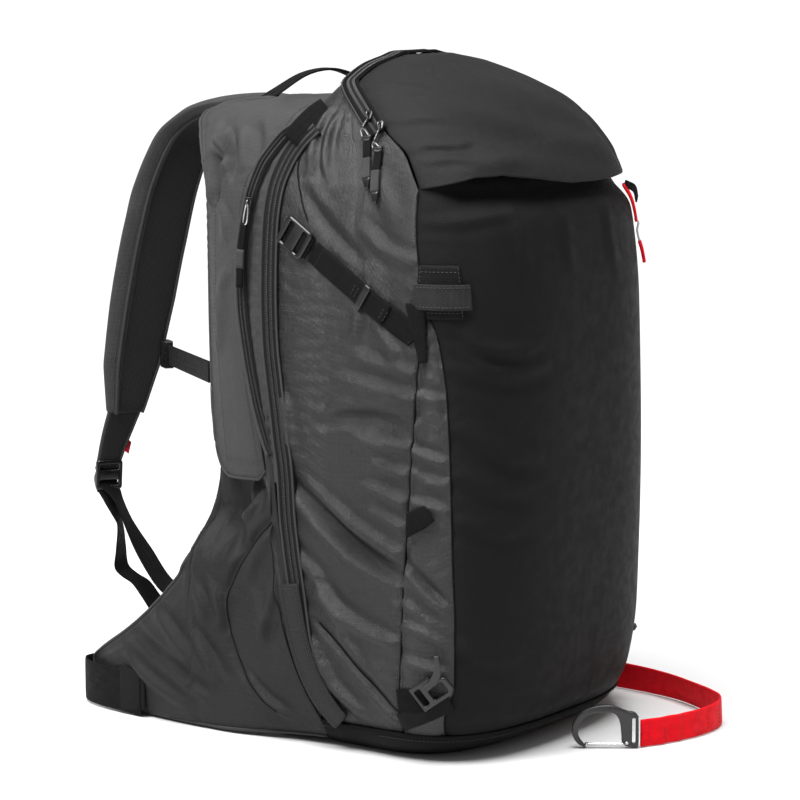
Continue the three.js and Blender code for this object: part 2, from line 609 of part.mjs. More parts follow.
/** Frame lying on the bag at [y, z] of its left side, local X along the given [y, z] direction. */
function sideFrame(y, z, lift, direction, side) {
  const here = onSide(y, z, lift);
  const ahead = onSide(y + direction[0] * 4, z + direction[1] * 4, lift);
  const normal = bagNormal(sideAngle(y, z), z);
  const xAxis = ahead.sub(here);
  const yAxis = normal.clone().cross(xAxis);
  if (side < 0) return placed(here, xAxis, yAxis);
  return placed(mirrored(here), mirrored(xAxis), mirrored(yAxis).negate());
}

const COMPRESSION = { top: [12, 442], bottom: [-91, 378], width: 20 };

function makeCompression() {
  const { top, bottom, width } = COMPRESSION;
  const runs = sideStrip(stretch(top, bottom, 6), width, WEB, 0.4);
  const slope = [-0.85, -0.53];
  const holes = [[-11, -5.5, -10.5, 10.5], [5.5, 11, -10.5, 10.5]];
  ['left', 'right'].forEach((word, i) => {
    add(`${word}_compression_strap`, runs[i], webbingBlack);
    const frame = sideFrame(30, 453, 3.6, slope, i === 0 ? -1 : 1);
    add(`${word}_compression_lock`, plate(32, 27, 5, 3, holes), plasticBlack, frame);
  });
}

function makeTrim() {
  const patchAngles = (z) => [sideAngle(-95, z), frontAngle(-146, z)];
  const patch = steps(4).map((t) => {
    const z = mix(392, 437, t);
    const [from, to] = patchAngles(z);
    return steps(5).map((s) => bagPoint(mix(from, to, s), z, 0.5));
  });
  add('tool_holder_patch', sheet(patch, 2.2, 0, V(-0.7, -0.7, 0)), webbingBlack);

  [-1, 1].forEach((side) => {
    const frame = sideFrame(-110, 70, 4.4, [-0.72, 0.6], side);
    const hook = plate(34, 24, 5, 4, [[-14, -8.5, -8, 8], [-3, 12, -7, 2.5]]);
    add(side < 0 ? 'left_hook_buckle' : 'right_hook_buckle', hook, plasticGrey, frame);
  });
}

// ---------------------------------------------------------------- zips
const ZIP_THICK = 1.2;
const LID_ZIP_WIDE = 8;
const PULLS = [[-20, 560], [-36, 549]];

/** Height of the bag's top over depth y, at x from its middle. */
function topHeight(x, y) {
  let z = HEIGHT;
  while (z > 500 && onSideWidth(y, z) < Math.abs(x)) z -= 0.25;
  return z;
}

function makeZips() {
  const edge = LID_EDGE.flatMap((point, i) => (i === 0 ? [point]
    : [[mix(LID_EDGE[i - 1][0], point[0], 0.5), mix(LID_EDGE[i - 1][1], point[1], 0.5)], point]));
  const side = edge.slice(0, -1).map(([y, z]) => {
    const [low, high] = [[y + 6 + LID_ZIP_WIDE, z - 3], [y + 3, z + 1]];
    return [low, high].map(([py, pz]) => onSide(py, pz, 2.4));
  });
  const across = steps(12).map((t) => mix(-80, 80, t)).map((x) =>
    [V(x, 24, topHeight(x, 24) + 3), V(x, 16, topHeight(x, 16) + 3)]);
  const back = side.map((row) => row.map(mirrored)).reverse();
  add('lid_zip_chain', sheet([...side, ...across, ...back], ZIP_THICK, 0, V(0, 0, 1)), coilBlack);

  const splitLine = steps(12).map((t) => {
    const z = mix(30, 538, t);
    return [V(-halfWidth(z) + 1, backY(z) - 7, z), V(-halfWidth(z) + 1, backY(z) + 7, z)];
  });
  add('left_split_zip', sheet(splitLine, ZIP_THICK, 0.4, V(-1, 0, 0)), coilBlack);
  const mirroredLine = splitLine.map((row) => row.map(mirrored));
  add('right_split_zip', sheet(mirroredLine, ZIP_THICK, 0.4, V(1, 0, 0)), coilBlack);

  const burst = LEFT_STRAP.slice(1).map(([front]) => [V(front.x - 0.4, front.y - 11, front.z),
    V(front.x - 0.4, front.y - 1, front.z)]);
  add('burst_zip_chain', sheet(burst, ZIP_THICK, 0.3, V(-1, 0, 0)), coilBlack);
}

/** Half width of the bag at depth y and height z. */
function onSideWidth(y, z) {
  const edge = y <= midY(z) ? frontY(z) : backY(z);
  const share = Math.abs((y - midY(z)) / (edge - midY(z)));
  const power = y <= midY(z) ? FRONT_CORNER : BACK_CORNER;
  return share >= 1 ? 0 : halfWidth(z) * (1 - share ** power) ** (1 / power);
}

const PULL_LENGTH = 56;

function makePulls() {
  PULLS.forEach(([y, z], i) => {
    const low = z - 12 - PULL_LENGTH;
    const pairs = stretch([y - 4, z - 13], [y - 13, low], 4).map(([py, pz]) =>
      [onSide(py - 3.6, pz, 1.4), onSide(py + 3.6, pz, 1.4)]);
    add(`lid_zip_pull_${i + 1}`, sheet(pairs, 2.6, 0, V(-1, -0.2, 0)), webbingBlack);
  });
  const top = 492;
  const pull = steps(2).map((t) => {
    const z = mix(top, top - 44, t);
    return [bagPoint(frontAngle(104, z), z, 3), bagPoint(frontAngle(114, z), z, 3)];
  });
  add('pocket_zip_pull', sheet(pull, 3, 0, V(0.5, -1, 0)), webbingRed);
}

// ---------------------------------------------------------------- leg loop and carabiner
const LEG_ROUTE = [V(155.5, 62, 0), V(166, 42, 0), V(175, 12, 0), V(181, -30, 0), V(182, -76, 0),
  V(179, -120, 0), V(170, -160, 0), V(155, -193, 0), V(140, -219, 0), V(124, -237, 0),
  V(100, -246, 0), V(72, -246, 0), V(46, -240, 0), V(24, -232, 0), V(7, -223, 0)];
const LEG_WIDTH = 25;
const LEG_THICK = 2;

function makeLegLoop() {
  const curve = new THREE.CatmullRomCurve3(LEG_ROUTE);
  const pairs = steps(42).map((t) => {
    const point = curve.getPointAt(t);
    return [V(point.x, point.y, 0.3), V(point.x, point.y, 0.3 + LEG_WIDTH)];
  });
  add('leg_loop_webbing', sheet(pairs, LEG_THICK, -LEG_THICK / 2, V(1, 0, 0)), webbingRed);

  // The carabiner stands on its edge: local X runs along it, local Y is up.
  const length = V(-31, 45, 0);
  const stand = placed(V(4.5, -221, 0), length, V(0, 0, 1));
  const spine = [V(6, 4.2, 0), V(4.2, 14, 0), V(4.2, 25, 0), V(9, 33, 0), V(22, 35.4, 0),
    V(38, 34.4, 0), V(49, 29, 0), V(54.5, 20, 0), V(53, 10, 0), V(49, 5.2, 0)];
  add('carabiner_frame', bar(spine, 3.6, 8, 30), aluminium, stand);
  const wire = [V(11.2, 2.4, 0), V(20, 2.2, 0), V(32, 2.2, 0), V(43.8, 3.4, 0)];
  add('carabiner_gate', bar(wire, 1.5, 8, 8), steel, stand);
}

makeMainBag();
makeBackUnit();
makeBlower();
makeAirSystem();
makeLeftStrap();
makeYoke();
makeRightStrap();
makeSternum();
makeHip(-1);
makeHip(1);
makeCompression();
makeTrim();
makeZips();
makePulls();
makeLegLoop();

export default pack;
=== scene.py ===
"""Avalanche airbag backpack: fabric, foam, webbing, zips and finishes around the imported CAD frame.

Sizes are millimetres in the row frame (+Z up, -Y outer front, +X the wearer's right) and become
metres when a mesh is made.
"""

import json
import math

import bmesh
import bpy
import numpy as np
from mathutils import Matrix, Vector
from mathutils.bvhtree import BVHTree


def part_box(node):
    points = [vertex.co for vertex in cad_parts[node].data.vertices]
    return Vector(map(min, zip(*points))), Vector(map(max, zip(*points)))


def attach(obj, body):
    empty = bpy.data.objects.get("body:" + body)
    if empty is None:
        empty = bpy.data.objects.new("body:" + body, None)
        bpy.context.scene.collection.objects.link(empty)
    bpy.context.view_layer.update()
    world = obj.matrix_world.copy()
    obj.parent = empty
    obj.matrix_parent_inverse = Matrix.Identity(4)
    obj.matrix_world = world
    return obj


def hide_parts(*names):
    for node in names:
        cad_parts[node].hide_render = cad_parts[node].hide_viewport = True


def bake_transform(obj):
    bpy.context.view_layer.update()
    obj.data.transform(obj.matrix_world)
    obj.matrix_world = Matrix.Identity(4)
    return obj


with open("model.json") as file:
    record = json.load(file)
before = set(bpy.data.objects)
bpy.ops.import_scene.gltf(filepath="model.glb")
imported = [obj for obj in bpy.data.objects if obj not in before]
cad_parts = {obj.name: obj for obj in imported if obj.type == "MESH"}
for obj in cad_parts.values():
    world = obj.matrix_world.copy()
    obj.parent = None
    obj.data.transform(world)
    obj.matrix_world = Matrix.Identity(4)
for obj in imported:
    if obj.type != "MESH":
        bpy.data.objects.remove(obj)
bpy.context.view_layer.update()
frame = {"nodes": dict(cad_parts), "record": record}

MM = 0.001
HEIGHT = 606
FRONT_CORNER, BACK_CORNER = 2.9, 16   # the cloth turns the back corner more squarely than the frame
FRONT_Y = [(0, -112), (14, -140), (50, -160), (106, -169), (246, -174), (386, -172), (456, -166),
           (506, -150), (546, -119), (578, -76), (598, -34), (606, -16)]
BACK_Y = [(0, 18), (26, 20), (86, 33), (166, 52), (246, 62), (466, 66), (516, 60), (551, 46),
          (576, 34), (596, 24), (606, 18)]
HALF_WIDTH = [(0, 132), (14, 148), (50, 158), (126, 163), (246, 164), (386, 161), (466, 156),
              (516, 146), (552, 130), (578, 106), (598, 66), (606, 26)]
LID_EDGE = [(-88, 503), (-80.5, 516), (-70, 531), (-51, 544), (-23, 565), (12, 586)]
FRONT_SEAM = [(-2, -108), (40, -115.5), (74, -126), (121, -127.6), (183, -126), (253, -124.5),
              (322, -121), (369, -114), (407, -101), (455, -92), (503, -88)]
SIDE_SEAM = [(24, -78), (56, -78), (110, -82), (182, -86), (252, -91), (321, -95), (382, -99),
             (407, -101), (455, -92), (503, -88)]
BASE_TOP, SOLE_Z = 24, 0.4       # heights of the base's seam and of its underside
FOLD_SCALE = 2.1                # the listed folds' heights, made deeper by this much
LID_CORNER_Z = 503              # where the front panel, the side panel and the lid meet
CLOTH_THICK, WEB_THICK = 1.4, 1.8
BAG_MIDDLE = (0, -50, 300)
SIDES = {-1: "left", 1: "right"}


# ---------------------------------------------------------------- small maths
def profile(keys):
    """Smooth curve through (at, value) keys that never overshoots between them."""
    at, value = np.array(keys, float).T
    span = np.diff(at)
    rise = np.diff(value) / span
    slope = np.zeros(len(at))
    slope[0], slope[-1] = rise[0], rise[-1]
    both = rise[1:] * rise[:-1]
    slope[1:-1] = np.where(both > 0, 2 * both / np.where(both > 0, rise[1:] + rise[:-1], 1), 0)

    def curve(x):
        x = np.clip(x, at[0], at[-1])
        i = np.clip(np.searchsorted(at, x, side="right") - 1, 0, len(span) - 1)
        t = (x - at[i]) / span[i]
        rest = 1 - t
        return (value[i] * (1 + 2 * t) * rest ** 2 + value[i + 1] * t ** 2 * (3 - 2 * t)
                + span[i] * (slope[i] * t * rest ** 2 - slope[i + 1] * t ** 2 * rest))
    return curve


def mix(a, b, t):
    return a + (b - a) * t


def unit(v):
    return v / np.maximum(np.linalg.norm(v, axis=-1, keepdims=True), 1e-12)


def ease(low, high, x):
    t = np.clip((x - low) / (high - low), 0, 1)
    return t * t * (3 - 2 * t)


def along(points):
    """Distance travelled at each point of a line, or of each row of a grid's points."""
    steps = np.linalg.norm(np.diff(points, axis=-2), axis=-1)
    return np.concatenate([np.zeros(steps.shape[:-1] + (1,)), np.cumsum(steps, axis=-1)], axis=-1)


def along_both(grid):
    """Distance of each grid point along its row, and down its column."""
    return along(grid), along(grid.transpose(1, 0, 2)).T


def sampled(at, far, values):
    """The values, known at distances `far` along a line, at the distances `at`."""
    return np.stack([np.interp(at, far, column) for column in np.transpose(values)], axis=-1)


def even(points, count):
    """The line again with `count` evenly spaced points."""
    far = along(points)
    return sampled(np.linspace(0, far[-1], count), far, points)


def smooth_line(points, count):
    """Catmull-Rom curve through the points, with `count` evenly spaced points."""
    p = np.array(points, float)
    p = np.vstack([2 * p[0] - p[1], p, 2 * p[-1] - p[-2]])
    t = np.linspace(0, 1, 24, endpoint=False)[:, None]
    runs = []
    for a, b, c, d in zip(p, p[1:], p[2:], p[3:]):
        runs.append(0.5 * (2 * b + (c - a) * t + (2 * a - 5 * b + 4 * c - d) * t ** 2
                           + (3 * b - a - 3 * c + d) * t ** 3))
    return even(np.vstack(runs + [p[-2:-1]]), count)


def blurred(field, reach):
    """The field averaged over about `reach` cells, by a few box passes."""
    for _ in range(3):
        for axis in (0, 1):
            padded = np.concatenate([np.repeat(field.take([0], axis), reach, axis), field,
                                     np.repeat(field.take([-1], axis), reach, axis)], axis)
            total = np.cumsum(padded, axis=axis)
            n = field.shape[axis]
            width = 2 * reach
            field = (total.take(range(width, width + n), axis)
                     - total.take(range(0, n), axis)) / width
    return field


def noise_field(shape, reach, seed):
    """Smooth noise over a grid, about -1 to 1."""
    field = blurred(np.random.default_rng(seed).standard_normal(shape), reach)
    return field / max(np.abs(field).max(), 1e-9)


def normals_of(grid):
    down = np.gradient(grid, axis=0)
    across = np.gradient(grid, axis=1)
    return unit(np.cross(down, across))


def looks_out(normals, grid, away_from):
    """Whether the grid's normals point away from a point inside it."""
    return np.einsum("ijk,ijk->", normals, grid - np.asarray(away_from, float)) > 0


def facing(grid, away_from=BAG_MIDDLE):
    """Normals of the grid, all turned away from a point inside it."""
    n = normals_of(grid)
    return n if looks_out(n, grid, away_from) else -n


# ---------------------------------------------------------------- the bag's surface
front_y, back_y, half_width = profile(FRONT_Y), profile(BACK_Y), profile(HALF_WIDTH)


def mid_y(z):
    return mix(front_y(z), back_y(z), 0.58)


def bag_rim(angle, z):
    """Point of the bag at height z: angle 0 is its left side, a quarter turn its front."""
    side, ahead = np.cos(angle), np.sin(angle)
    power = 2 / np.where(ahead >= 0, FRONT_CORNER, BACK_CORNER)
    depth = np.where(ahead >= 0, front_y(z), back_y(z)) - mid_y(z)
    x = -half_width(z) * np.sign(side) * np.abs(side) ** power
    return np.stack([x, mid_y(z) + depth * np.abs(ahead) ** power, z + 0 * x], axis=-1)


def side_angle(y, z):
    """Angle of the left side's surface at depth y and height z."""
    ahead = y <= mid_y(z)
    edge = np.where(ahead, front_y(z), back_y(z))
    share = np.clip(np.abs((y - mid_y(z)) / (edge - mid_y(z))), 0, 1)
    angle = np.arcsin(share ** (np.where(ahead, FRONT_CORNER, BACK_CORNER) / 2))
    return np.where(ahead, angle, -angle)


def front_angle(x, z):
    share = np.clip(np.abs(x) / half_width(z), 0, 1) ** (FRONT_CORNER / 2)
    return np.where(x <= 0, np.arccos(share), math.pi - np.arccos(share))


def bag_normal(angle, z):
    turn = bag_rim(angle + 0.02, z) - bag_rim(angle - 0.02, z)
    up = bag_rim(angle, np.minimum(z + 1, HEIGHT)) - bag_rim(angle, np.maximum(z - 1, 0))
    return unit(np.cross(turn, up))


def on_side(y, z, lift=0.0, side=-1):
    """Point on the bag's left side, or its mirror on the right, `lift` above the surface."""
    y, z = np.asarray(y, float), np.asarray(z, float)
    angle = side_angle(y, z)
    point = bag_rim(angle, z) + bag_normal(angle, z) * np.asarray(lift)[..., None]
    return point * (1 if side < 0 else np.array([-1, 1, 1]))


def on_front(x, z):
    x, z = np.asarray(x, float), np.asarray(z, float)
    return bag_rim(front_angle(x, z), z)


def outside(point):
    """Above zero outside the bag and below it inside."""
    z = np.clip(point[..., 2], 0, HEIGHT)
    ahead = point[..., 1] <= mid_y(z)
    power = np.where(ahead, FRONT_CORNER, BACK_CORNER)
    depth = np.where(ahead, front_y(z), back_y(z)) - mid_y(z)
    ring = np.abs(point[..., 0] / half_width(z)) ** power \
        + np.abs((point[..., 1] - mid_y(z)) / depth) ** power - 1
    return np.maximum(ring, (point[..., 2] - HEIGHT) / 10)


def cast(origin, direction):
    """Where rays from inside the bag meet its surface."""
    near, far = np.zeros(direction.shape[:-1]), np.full(direction.shape[:-1], 500.0)
    for _ in range(26):
        middle = (near + far) / 2
        out = outside(origin + direction * middle[..., None]) > 0
        near, far = np.where(out, near, middle), np.where(out, middle, far)
    return origin + direction * ((near + far) / 2)[..., None]


# ---------------------------------------------------------------- fabric that settles into wrinkles
STRETCH, BEND = 0.9, 0.25        # how firmly the cloth keeps its length, and its length over two cells
START_RIPPLE = 0.7               # height of the noise that the settling starts from
PULL_BACK = 0.02                 # how strongly each point is drawn to the panel's frame, per step
SETTLE_STEPS, QUICK_STEPS = 130, 40
SEAM_REACH = 5.0                 # how far from a seam the panel is drawn in


def settle(p, free, a, b, rest, share, push_only):
    """Moves the points of p at a and b towards their distance `rest`."""
    gap = p[b] - p[a]
    size = np.linalg.norm(gap, axis=-1, keepdims=True)
    short = size - rest[..., None]
    if push_only:
        short = np.minimum(short, 0)
    move = share * short * gap / (size * np.maximum(free[a] + free[b], 1e-6))
    p[a] += free[a] * move
    p[b] -= free[b] * move


def pairs_of(shape, axis, step):
    """Slices that pair each point with the one `step` further along an axis, in groups that don't meet."""
    for start in range(2 * step):
        count = len(range(start + step, shape[axis], 2 * step))
        if count:
            first, second = [slice(None)] * 2, [slice(None)] * 2
            first[axis] = slice(start, start + 2 * step * (count - 1) + 1, 2 * step)
            second[axis] = slice(start + step, None, 2 * step)
            yield tuple(first), tuple(second)


def relax(base, spare, free, seed, reach, cap):
    """Cloth cut a little too big for its frame: it buckles into wrinkles between its fixed edges.

    spare is the extra length down and across as shares, free is 0 where it is sewn down, reach is the
    size of the wrinkles in cells, and cap is their greatest height.
    """
    normal = normals_of(base)
    free = np.broadcast_to(free, base.shape[:2])[..., None].astype(float)
    p = base + normal * (noise_field(base.shape[:2], reach, seed) * START_RIPPLE)[..., None] * free
    extra = [np.broadcast_to(s, base.shape[:2]) for s in spare]
    links = []
    for axis, step, share in ((0, 1, STRETCH), (1, 1, STRETCH), (0, 2, BEND), (1, 2, BEND)):
        for a, b in pairs_of(base.shape, axis, step):
            rest = np.linalg.norm(base[b] - base[a], axis=-1) * (1 + extra[axis][a])
            links.append((a, b, rest, share, step == 2))
    for _ in range(SETTLE_STEPS):
        for link in links:
            settle(p, free, *link)
        p += PULL_BACK * (base - p) * free
    moved = p - base
    out = np.einsum("ijk,ijk->ij", moved, normal)[..., None]
    return base + (moved - out * normal) + cap * np.tanh(out / cap) * normal


def edge_distance(grid):
    """Distance of each grid point from the grid's four edges: top row, bottom row, first and last column."""
    across, down = along_both(grid)
    return down, down[-1:] - down, across, across[:, -1:] - across


def sewn(distance, depth):
    """How far a panel is drawn in near a seam."""
    return -depth * np.exp(-(distance / SEAM_REACH) ** 2)


def crease(u, v, line, width, depth, lean):
    """Fold along a line of (u, v) points: a ridge of that depth, or with lean a ridge and a valley."""
    pts = smooth_line(line, 60)
    far = ((u[..., None] - pts[:, 0]) ** 2 + (v[..., None] - pts[:, 1]) ** 2)
    near = far.argmin(-1)
    way = np.gradient(pts, axis=0)[near]
    way /= np.linalg.norm(way, axis=-1, keepdims=True)
    offset = np.stack([u, v], -1) - pts[near]
    signed = (way[..., 0] * offset[..., 1] - way[..., 1] * offset[..., 0]) / width
    size = np.sqrt(far.min(-1)) / width
    taper = np.sin(np.pi * np.clip((near + 1) / 61, 0, 1)) ** 0.7
    ridge = np.exp(-size ** 2)
    return depth * taper * ridge * (1 - lean + lean * 2.2 * signed)


def creases(u, v, folds):
    """Height of all the listed folds together."""
    return sum(crease(u, v, *fold) for fold in folds)


# ---------------------------------------------------------------- meshes
def linked(name, data):
    """A new object of the scene that holds the data."""
    obj = bpy.data.objects.new(name, data)
    bpy.context.scene.collection.objects.link(obj)
    return obj


def fresh_graph():
    bpy.context.view_layer.update()
    return bpy.context.evaluated_depsgraph_get()


def make_mesh(name, points, faces, material, smooth=True):
    mesh = bpy.data.meshes.new(name)
    mesh.from_pydata((np.asarray(points, float) * MM).tolist(), [], faces)
    mesh.update()
    for m in material if isinstance(material, list) else [material]:
        mesh.materials.append(m)
    mesh.polygons.foreach_set("use_smooth", [smooth] * len(mesh.polygons))
    return linked(name, mesh)


def finished(obj, body="root", nodes=()):
    """Says which body a piece rides on and the CAD nodes it stands for."""
    if body:
        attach(obj, body)
    if nodes:
        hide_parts(*nodes)
    return obj


def add_weave(obj, u, v, mask=0.0):
    """Stores each point's place in the cloth, in millimetres, for the weave of its material."""
    data = np.zeros((len(obj.data.vertices), 3), np.float32)
    data[:, 0], data[:, 1], data[:, 2] = u.ravel(), v.ravel(), np.ravel(mask)
    layer = obj.data.attributes.new("weave", "FLOAT_VECTOR", "POINT")
    layer.data.foreach_set("vector", data.ravel())


def grid_faces(rows, columns, wrap=False):
    i, j = np.meshgrid(np.arange(rows - 1), np.arange(columns if wrap else columns - 1), indexing="ij")
    k = (j + 1) % columns
    quads = np.stack([i * columns + j, i * columns + k, (i + 1) * columns + k, (i + 1) * columns + j], -1)
    return quads.reshape(-1, 4).tolist()


def modify(obj, kind, **settings):
    modifier = obj.modifiers.new(kind.lower(), kind)
    for key, value in settings.items():
        setattr(modifier, key, value)
    return modifier


def fabric_panel(name, grid, materials, away_from=BAG_MIDDLE, thick=CLOTH_THICK, mask=0.0, weave=None):
    """Cloth over a grid of points whose outer face looks away from a point."""
    faces = grid_faces(*grid.shape[:2])
    # normals_of is down x across, and a face drawn across then down looks the other way
    if looks_out(normals_of(grid), grid, away_from):
        faces = [f[::-1] for f in faces]
    obj = make_mesh(name, grid.reshape(-1, 3), faces, materials)
    add_weave(obj, *(weave or along_both(grid)), mask)
    modify(obj, "SUBSURF", levels=1, render_levels=1)
    modify(obj, "SOLIDIFY", thickness=thick * MM, offset=-1, material_offset=int(isinstance(materials, list)))
    return obj


def apply_modifiers(obj):
    """Turns the mesh with its modifiers into the object's own mesh."""
    made = bpy.data.meshes.new_from_object(obj.evaluated_get(fresh_graph()))
    obj.modifiers.clear()
    obj.data = made


def outward(obj, weld=0.0):
    """Turns every face of a closed mesh to look out of it, after joining points nearer than `weld`."""
    mesh = bmesh.new()
    mesh.from_mesh(obj.data)
    if weld:
        bmesh.ops.remove_doubles(mesh, verts=mesh.verts, dist=weld)
    bmesh.ops.recalc_face_normals(mesh, faces=mesh.faces)
    mesh.to_mesh(obj.data)
    mesh.free()
    obj.data.update()


# ---------------------------------------------------------------- materials
TURN = 6.2832


class Shader:
    """A material's node tree, with inputs given as numbers, colours or other nodes' sockets."""

    def __init__(self, name, **settings):
        self.material = bpy.data.materials.new(name)
        self.material.use_nodes = True
        self.tree = self.material.node_tree
        self.surface = self.tree.nodes["Principled BSDF"]
        self.set(self.surface, settings)

    def set(self, node, inputs):
        for key, value in inputs.items():
            socket = node.inputs[key]
            if isinstance(value, bpy.types.NodeSocket):
                self.tree.links.new(value, socket)
            else:
                socket.default_value = value

    def node(self, kind, inputs=None, **settings):
        made = self.tree.nodes.new("ShaderNode" + kind)
        for key, value in settings.items():
            setattr(made, key, value)
        self.set(made, inputs or {})
        return made

    def math(self, operation, a, b=0.0, c=0.0):
        return self.node("Math", {0: a, 1: b, 2: c}, operation=operation).outputs[0]

    def ramp(self, value, low, high, out_low=0.0, out_high=1.0):
        inputs = {"Value": value, "From Min": low, "From Max": high, "To Min": out_low, "To Max": out_high}
        return self.node("MapRange", inputs, interpolation_type="SMOOTHSTEP").outputs["Result"]

    def place(self):
        return self.node("TexCoord").outputs["Object"]

    def cloth(self):
        """(across, along, mask) of the cloth, in millimetres."""
        attribute = self.node("Attribute", attribute_name="weave", attribute_type="GEOMETRY")
        split = self.node("SeparateXYZ", {"Vector": attribute.outputs["Vector"]})
        return split.outputs

    def noise(self, scale, detail=3.0, rough=0.5, vector=None):
        inputs = {"Vector": vector or self.place(), "Scale": scale, "Detail": detail, "Roughness": rough}
        return self.node("TexNoise", inputs).outputs["Fac"]

    def lines(self, value, pitch, share):
        """1 on thin lines every `pitch`, 0 between them."""
        part = self.math("PINGPONG", value, pitch / 2)
        return self.ramp(part, pitch * share / 2, pitch * share, 1.0, 0.0)

    def shade(self, colour, amount, low=0.7, high=1.3):
        """The colour made darker or lighter by an amount from 0 to 1."""
        dark = [c * low for c in colour[:3]] + [1]
        light = [min(1, c * high) for c in colour[:3]] + [1]
        mixer = self.node("Mix", data_type="RGBA")
        self.set(mixer, {"Factor": amount})
        mixer.inputs[6].default_value = dark
        mixer.inputs[7].default_value = light
        return mixer.outputs[2]

    def bump(self, height, distance, strength, under=None):
        inputs = {"Height": height, "Distance": distance, "Strength": strength}
        if under is not None:
            inputs["Normal"] = under
        return self.node("Bump", inputs).outputs["Normal"]

    def paint(self, **inputs):
        """Gives the surface its colour, roughness and normal, and returns the finished material."""
        self.set(self.surface, {key.replace("_", " "): value for key, value in inputs.items()})
        return self.material


def grey(value):
    """Linear colour of an sRGB grey from 0 to 255."""
    c = value / 255
    return ((c / 12.92) if c < 0.04 else ((c + 0.055) / 1.055) ** 2.4,) * 3 + (1,)


def srgb(r, g, b):
    return tuple(grey(v)[0] for v in (r, g, b)) + (1,)


def fabric(name, colour, rough=0.55, rip=0.0, pitch=4.8, twill=False, sheen=0.02, crumple=0.35, yarn=0.7,
           gloss=0.16):
    """Coated nylon: a fine yarn, a ripstop grid, diagonal twill where the mask is above 0, and crumples."""
    s = Shader(name, **{"Sheen Weight": sheen, "Sheen Roughness": 0.45, "Specular IOR Level": gloss})
    across, along_it, mask = s.cloth()
    size = TURN / yarn
    fine = s.math("MULTIPLY", s.math("SINE", s.math("MULTIPLY", across, size)),
                  s.math("SINE", s.math("MULTIPLY", along_it, size)))
    soft = s.noise(14.0, 4.0, 0.55)
    small = s.noise(90.0, 4.0, 0.6)
    lines = None
    if rip:
        lines = s.math("MAXIMUM", s.lines(across, pitch, 0.13), s.lines(along_it, pitch, 0.13))
    if twill:
        rising = s.math("ADD", across, s.math("MULTIPLY", along_it, 0.62))
        falling = s.math("SUBTRACT", across, s.math("MULTIPLY", along_it, 0.62))
        diagonal = s.math("MAXIMUM", s.lines(rising, pitch, 0.2),
                          s.math("MULTIPLY", s.lines(falling, pitch, 0.2), 0.8))
        above = s.ramp(mask, -0.05, 0.05)
        lines = s.math("ADD", s.math("MULTIPLY", diagonal, above),
                       s.math("MULTIPLY", lines, s.math("SUBTRACT", 1.0, above)))
    tone = s.math("MULTIPLY_ADD", soft, 0.55, s.math("MULTIPLY", small, 0.35))
    if lines is not None:
        tone = s.math("MULTIPLY_ADD", lines, rip, tone)
    tone = s.math("MULTIPLY_ADD", fine, 0.06, tone)
    normal = s.bump(fine, 0.00012, 0.6)
    if lines is not None:
        normal = s.bump(lines, 0.00014, 0.8, normal)
    normal = s.bump(small, 0.0012, crumple, normal)
    normal = s.bump(s.noise(38.0), 0.0035, crumple, normal)
    return s.paint(Base_Color=s.shade(colour, tone, 0.78, 1.3), Normal=normal,
                   Roughness=s.ramp(small, 0.3, 0.7, rough - 0.06, rough + 0.07))


def webbing(name, colour, rough=0.6, gloss=0.12):
    """Woven strap: ribs across it in a fine herringbone."""
    s = Shader(name, **{"Sheen Weight": 0.01, "Sheen Roughness": 0.5, "Specular IOR Level": gloss})
    across, along_it, _ = s.cloth()
    zigzag = s.math("MULTIPLY_ADD", s.math("PINGPONG", across, 2.6), 0.6, along_it)
    ribs = s.math("SINE", s.math("MULTIPLY", zigzag, TURN / 1.7))
    rows = s.math("SINE", s.math("MULTIPLY", across, TURN / 1.1))
    height = s.math("MULTIPLY_ADD", rows, 0.35, ribs)
    tone = s.math("MULTIPLY_ADD", ribs, 0.16, s.noise(120.0))
    return s.paint(Base_Color=s.shade(colour, tone, 0.7, 1.35), Normal=s.bump(height, 0.00022, 0.8),
                   Roughness=s.ramp(s.noise(200.0), 0.3, 0.7, rough - 0.05, rough + 0.1))


def moulded(name, colour, rough, grain=0.25):
    """Moulded plastic: fine spark-eroded grain with worn, smoother patches."""
    s = Shader(name, **{"Specular IOR Level": 0.5})
    wear = s.noise(60.0)
    return s.paint(Base_Color=s.shade(colour, wear, 0.8, 1.25),
                   Roughness=s.ramp(wear, 0.3, 0.75, rough - 0.08, rough + 0.1),
                   Normal=s.bump(s.noise(2600.0, 2.0), 0.00006, grain))


def metal(name, colour, rough):
    """Bare or anodised metal with fine brushing and handling marks."""
    s = Shader(name, Metallic=1.0)
    stretched = s.node("Mapping", {"Vector": s.place(), "Scale": (40, 40, 900)})
    brushed = s.noise(3.0, vector=stretched.outputs[0])
    return s.paint(Base_Color=s.shade(colour, s.noise(50.0), 0.85, 1.1),
                   Roughness=s.ramp(brushed, 0.25, 0.75, rough - 0.08, rough + 0.1),
                   Normal=s.bump(brushed, 0.00004, 0.4))


def spacer_mesh(name, colour):
    """Knitted spacer mesh of the harness: open cells over foam, with the cells painted darker as the shade
    down in them.
    """
    s = Shader(name, **{"Roughness": 0.85, "Sheen Weight": 0.02, "Specular IOR Level": 0.1})
    cells = s.node("TexVoronoi", {"Vector": s.place(), "Scale": 620.0, "Randomness": 0.3}).outputs["Distance"]
    # Painted shade: the colour darkens towards the middle of each cell, where the mesh is deepest.
    hole = s.ramp(cells, 0.18, 0.5)
    return s.paint(Base_Color=s.shade(colour, hole, 0.6, 1.15), Normal=s.bump(hole, 0.0003, 0.6))


def lens_material():
    s = Shader("clear_lens", **{"Roughness": 0.12, "IOR": 1.49, "Transmission Weight": 0.6})
    return s.paint(Base_Color=s.shade(srgb(150, 175, 190), s.noise(80.0), 0.8, 1.1))


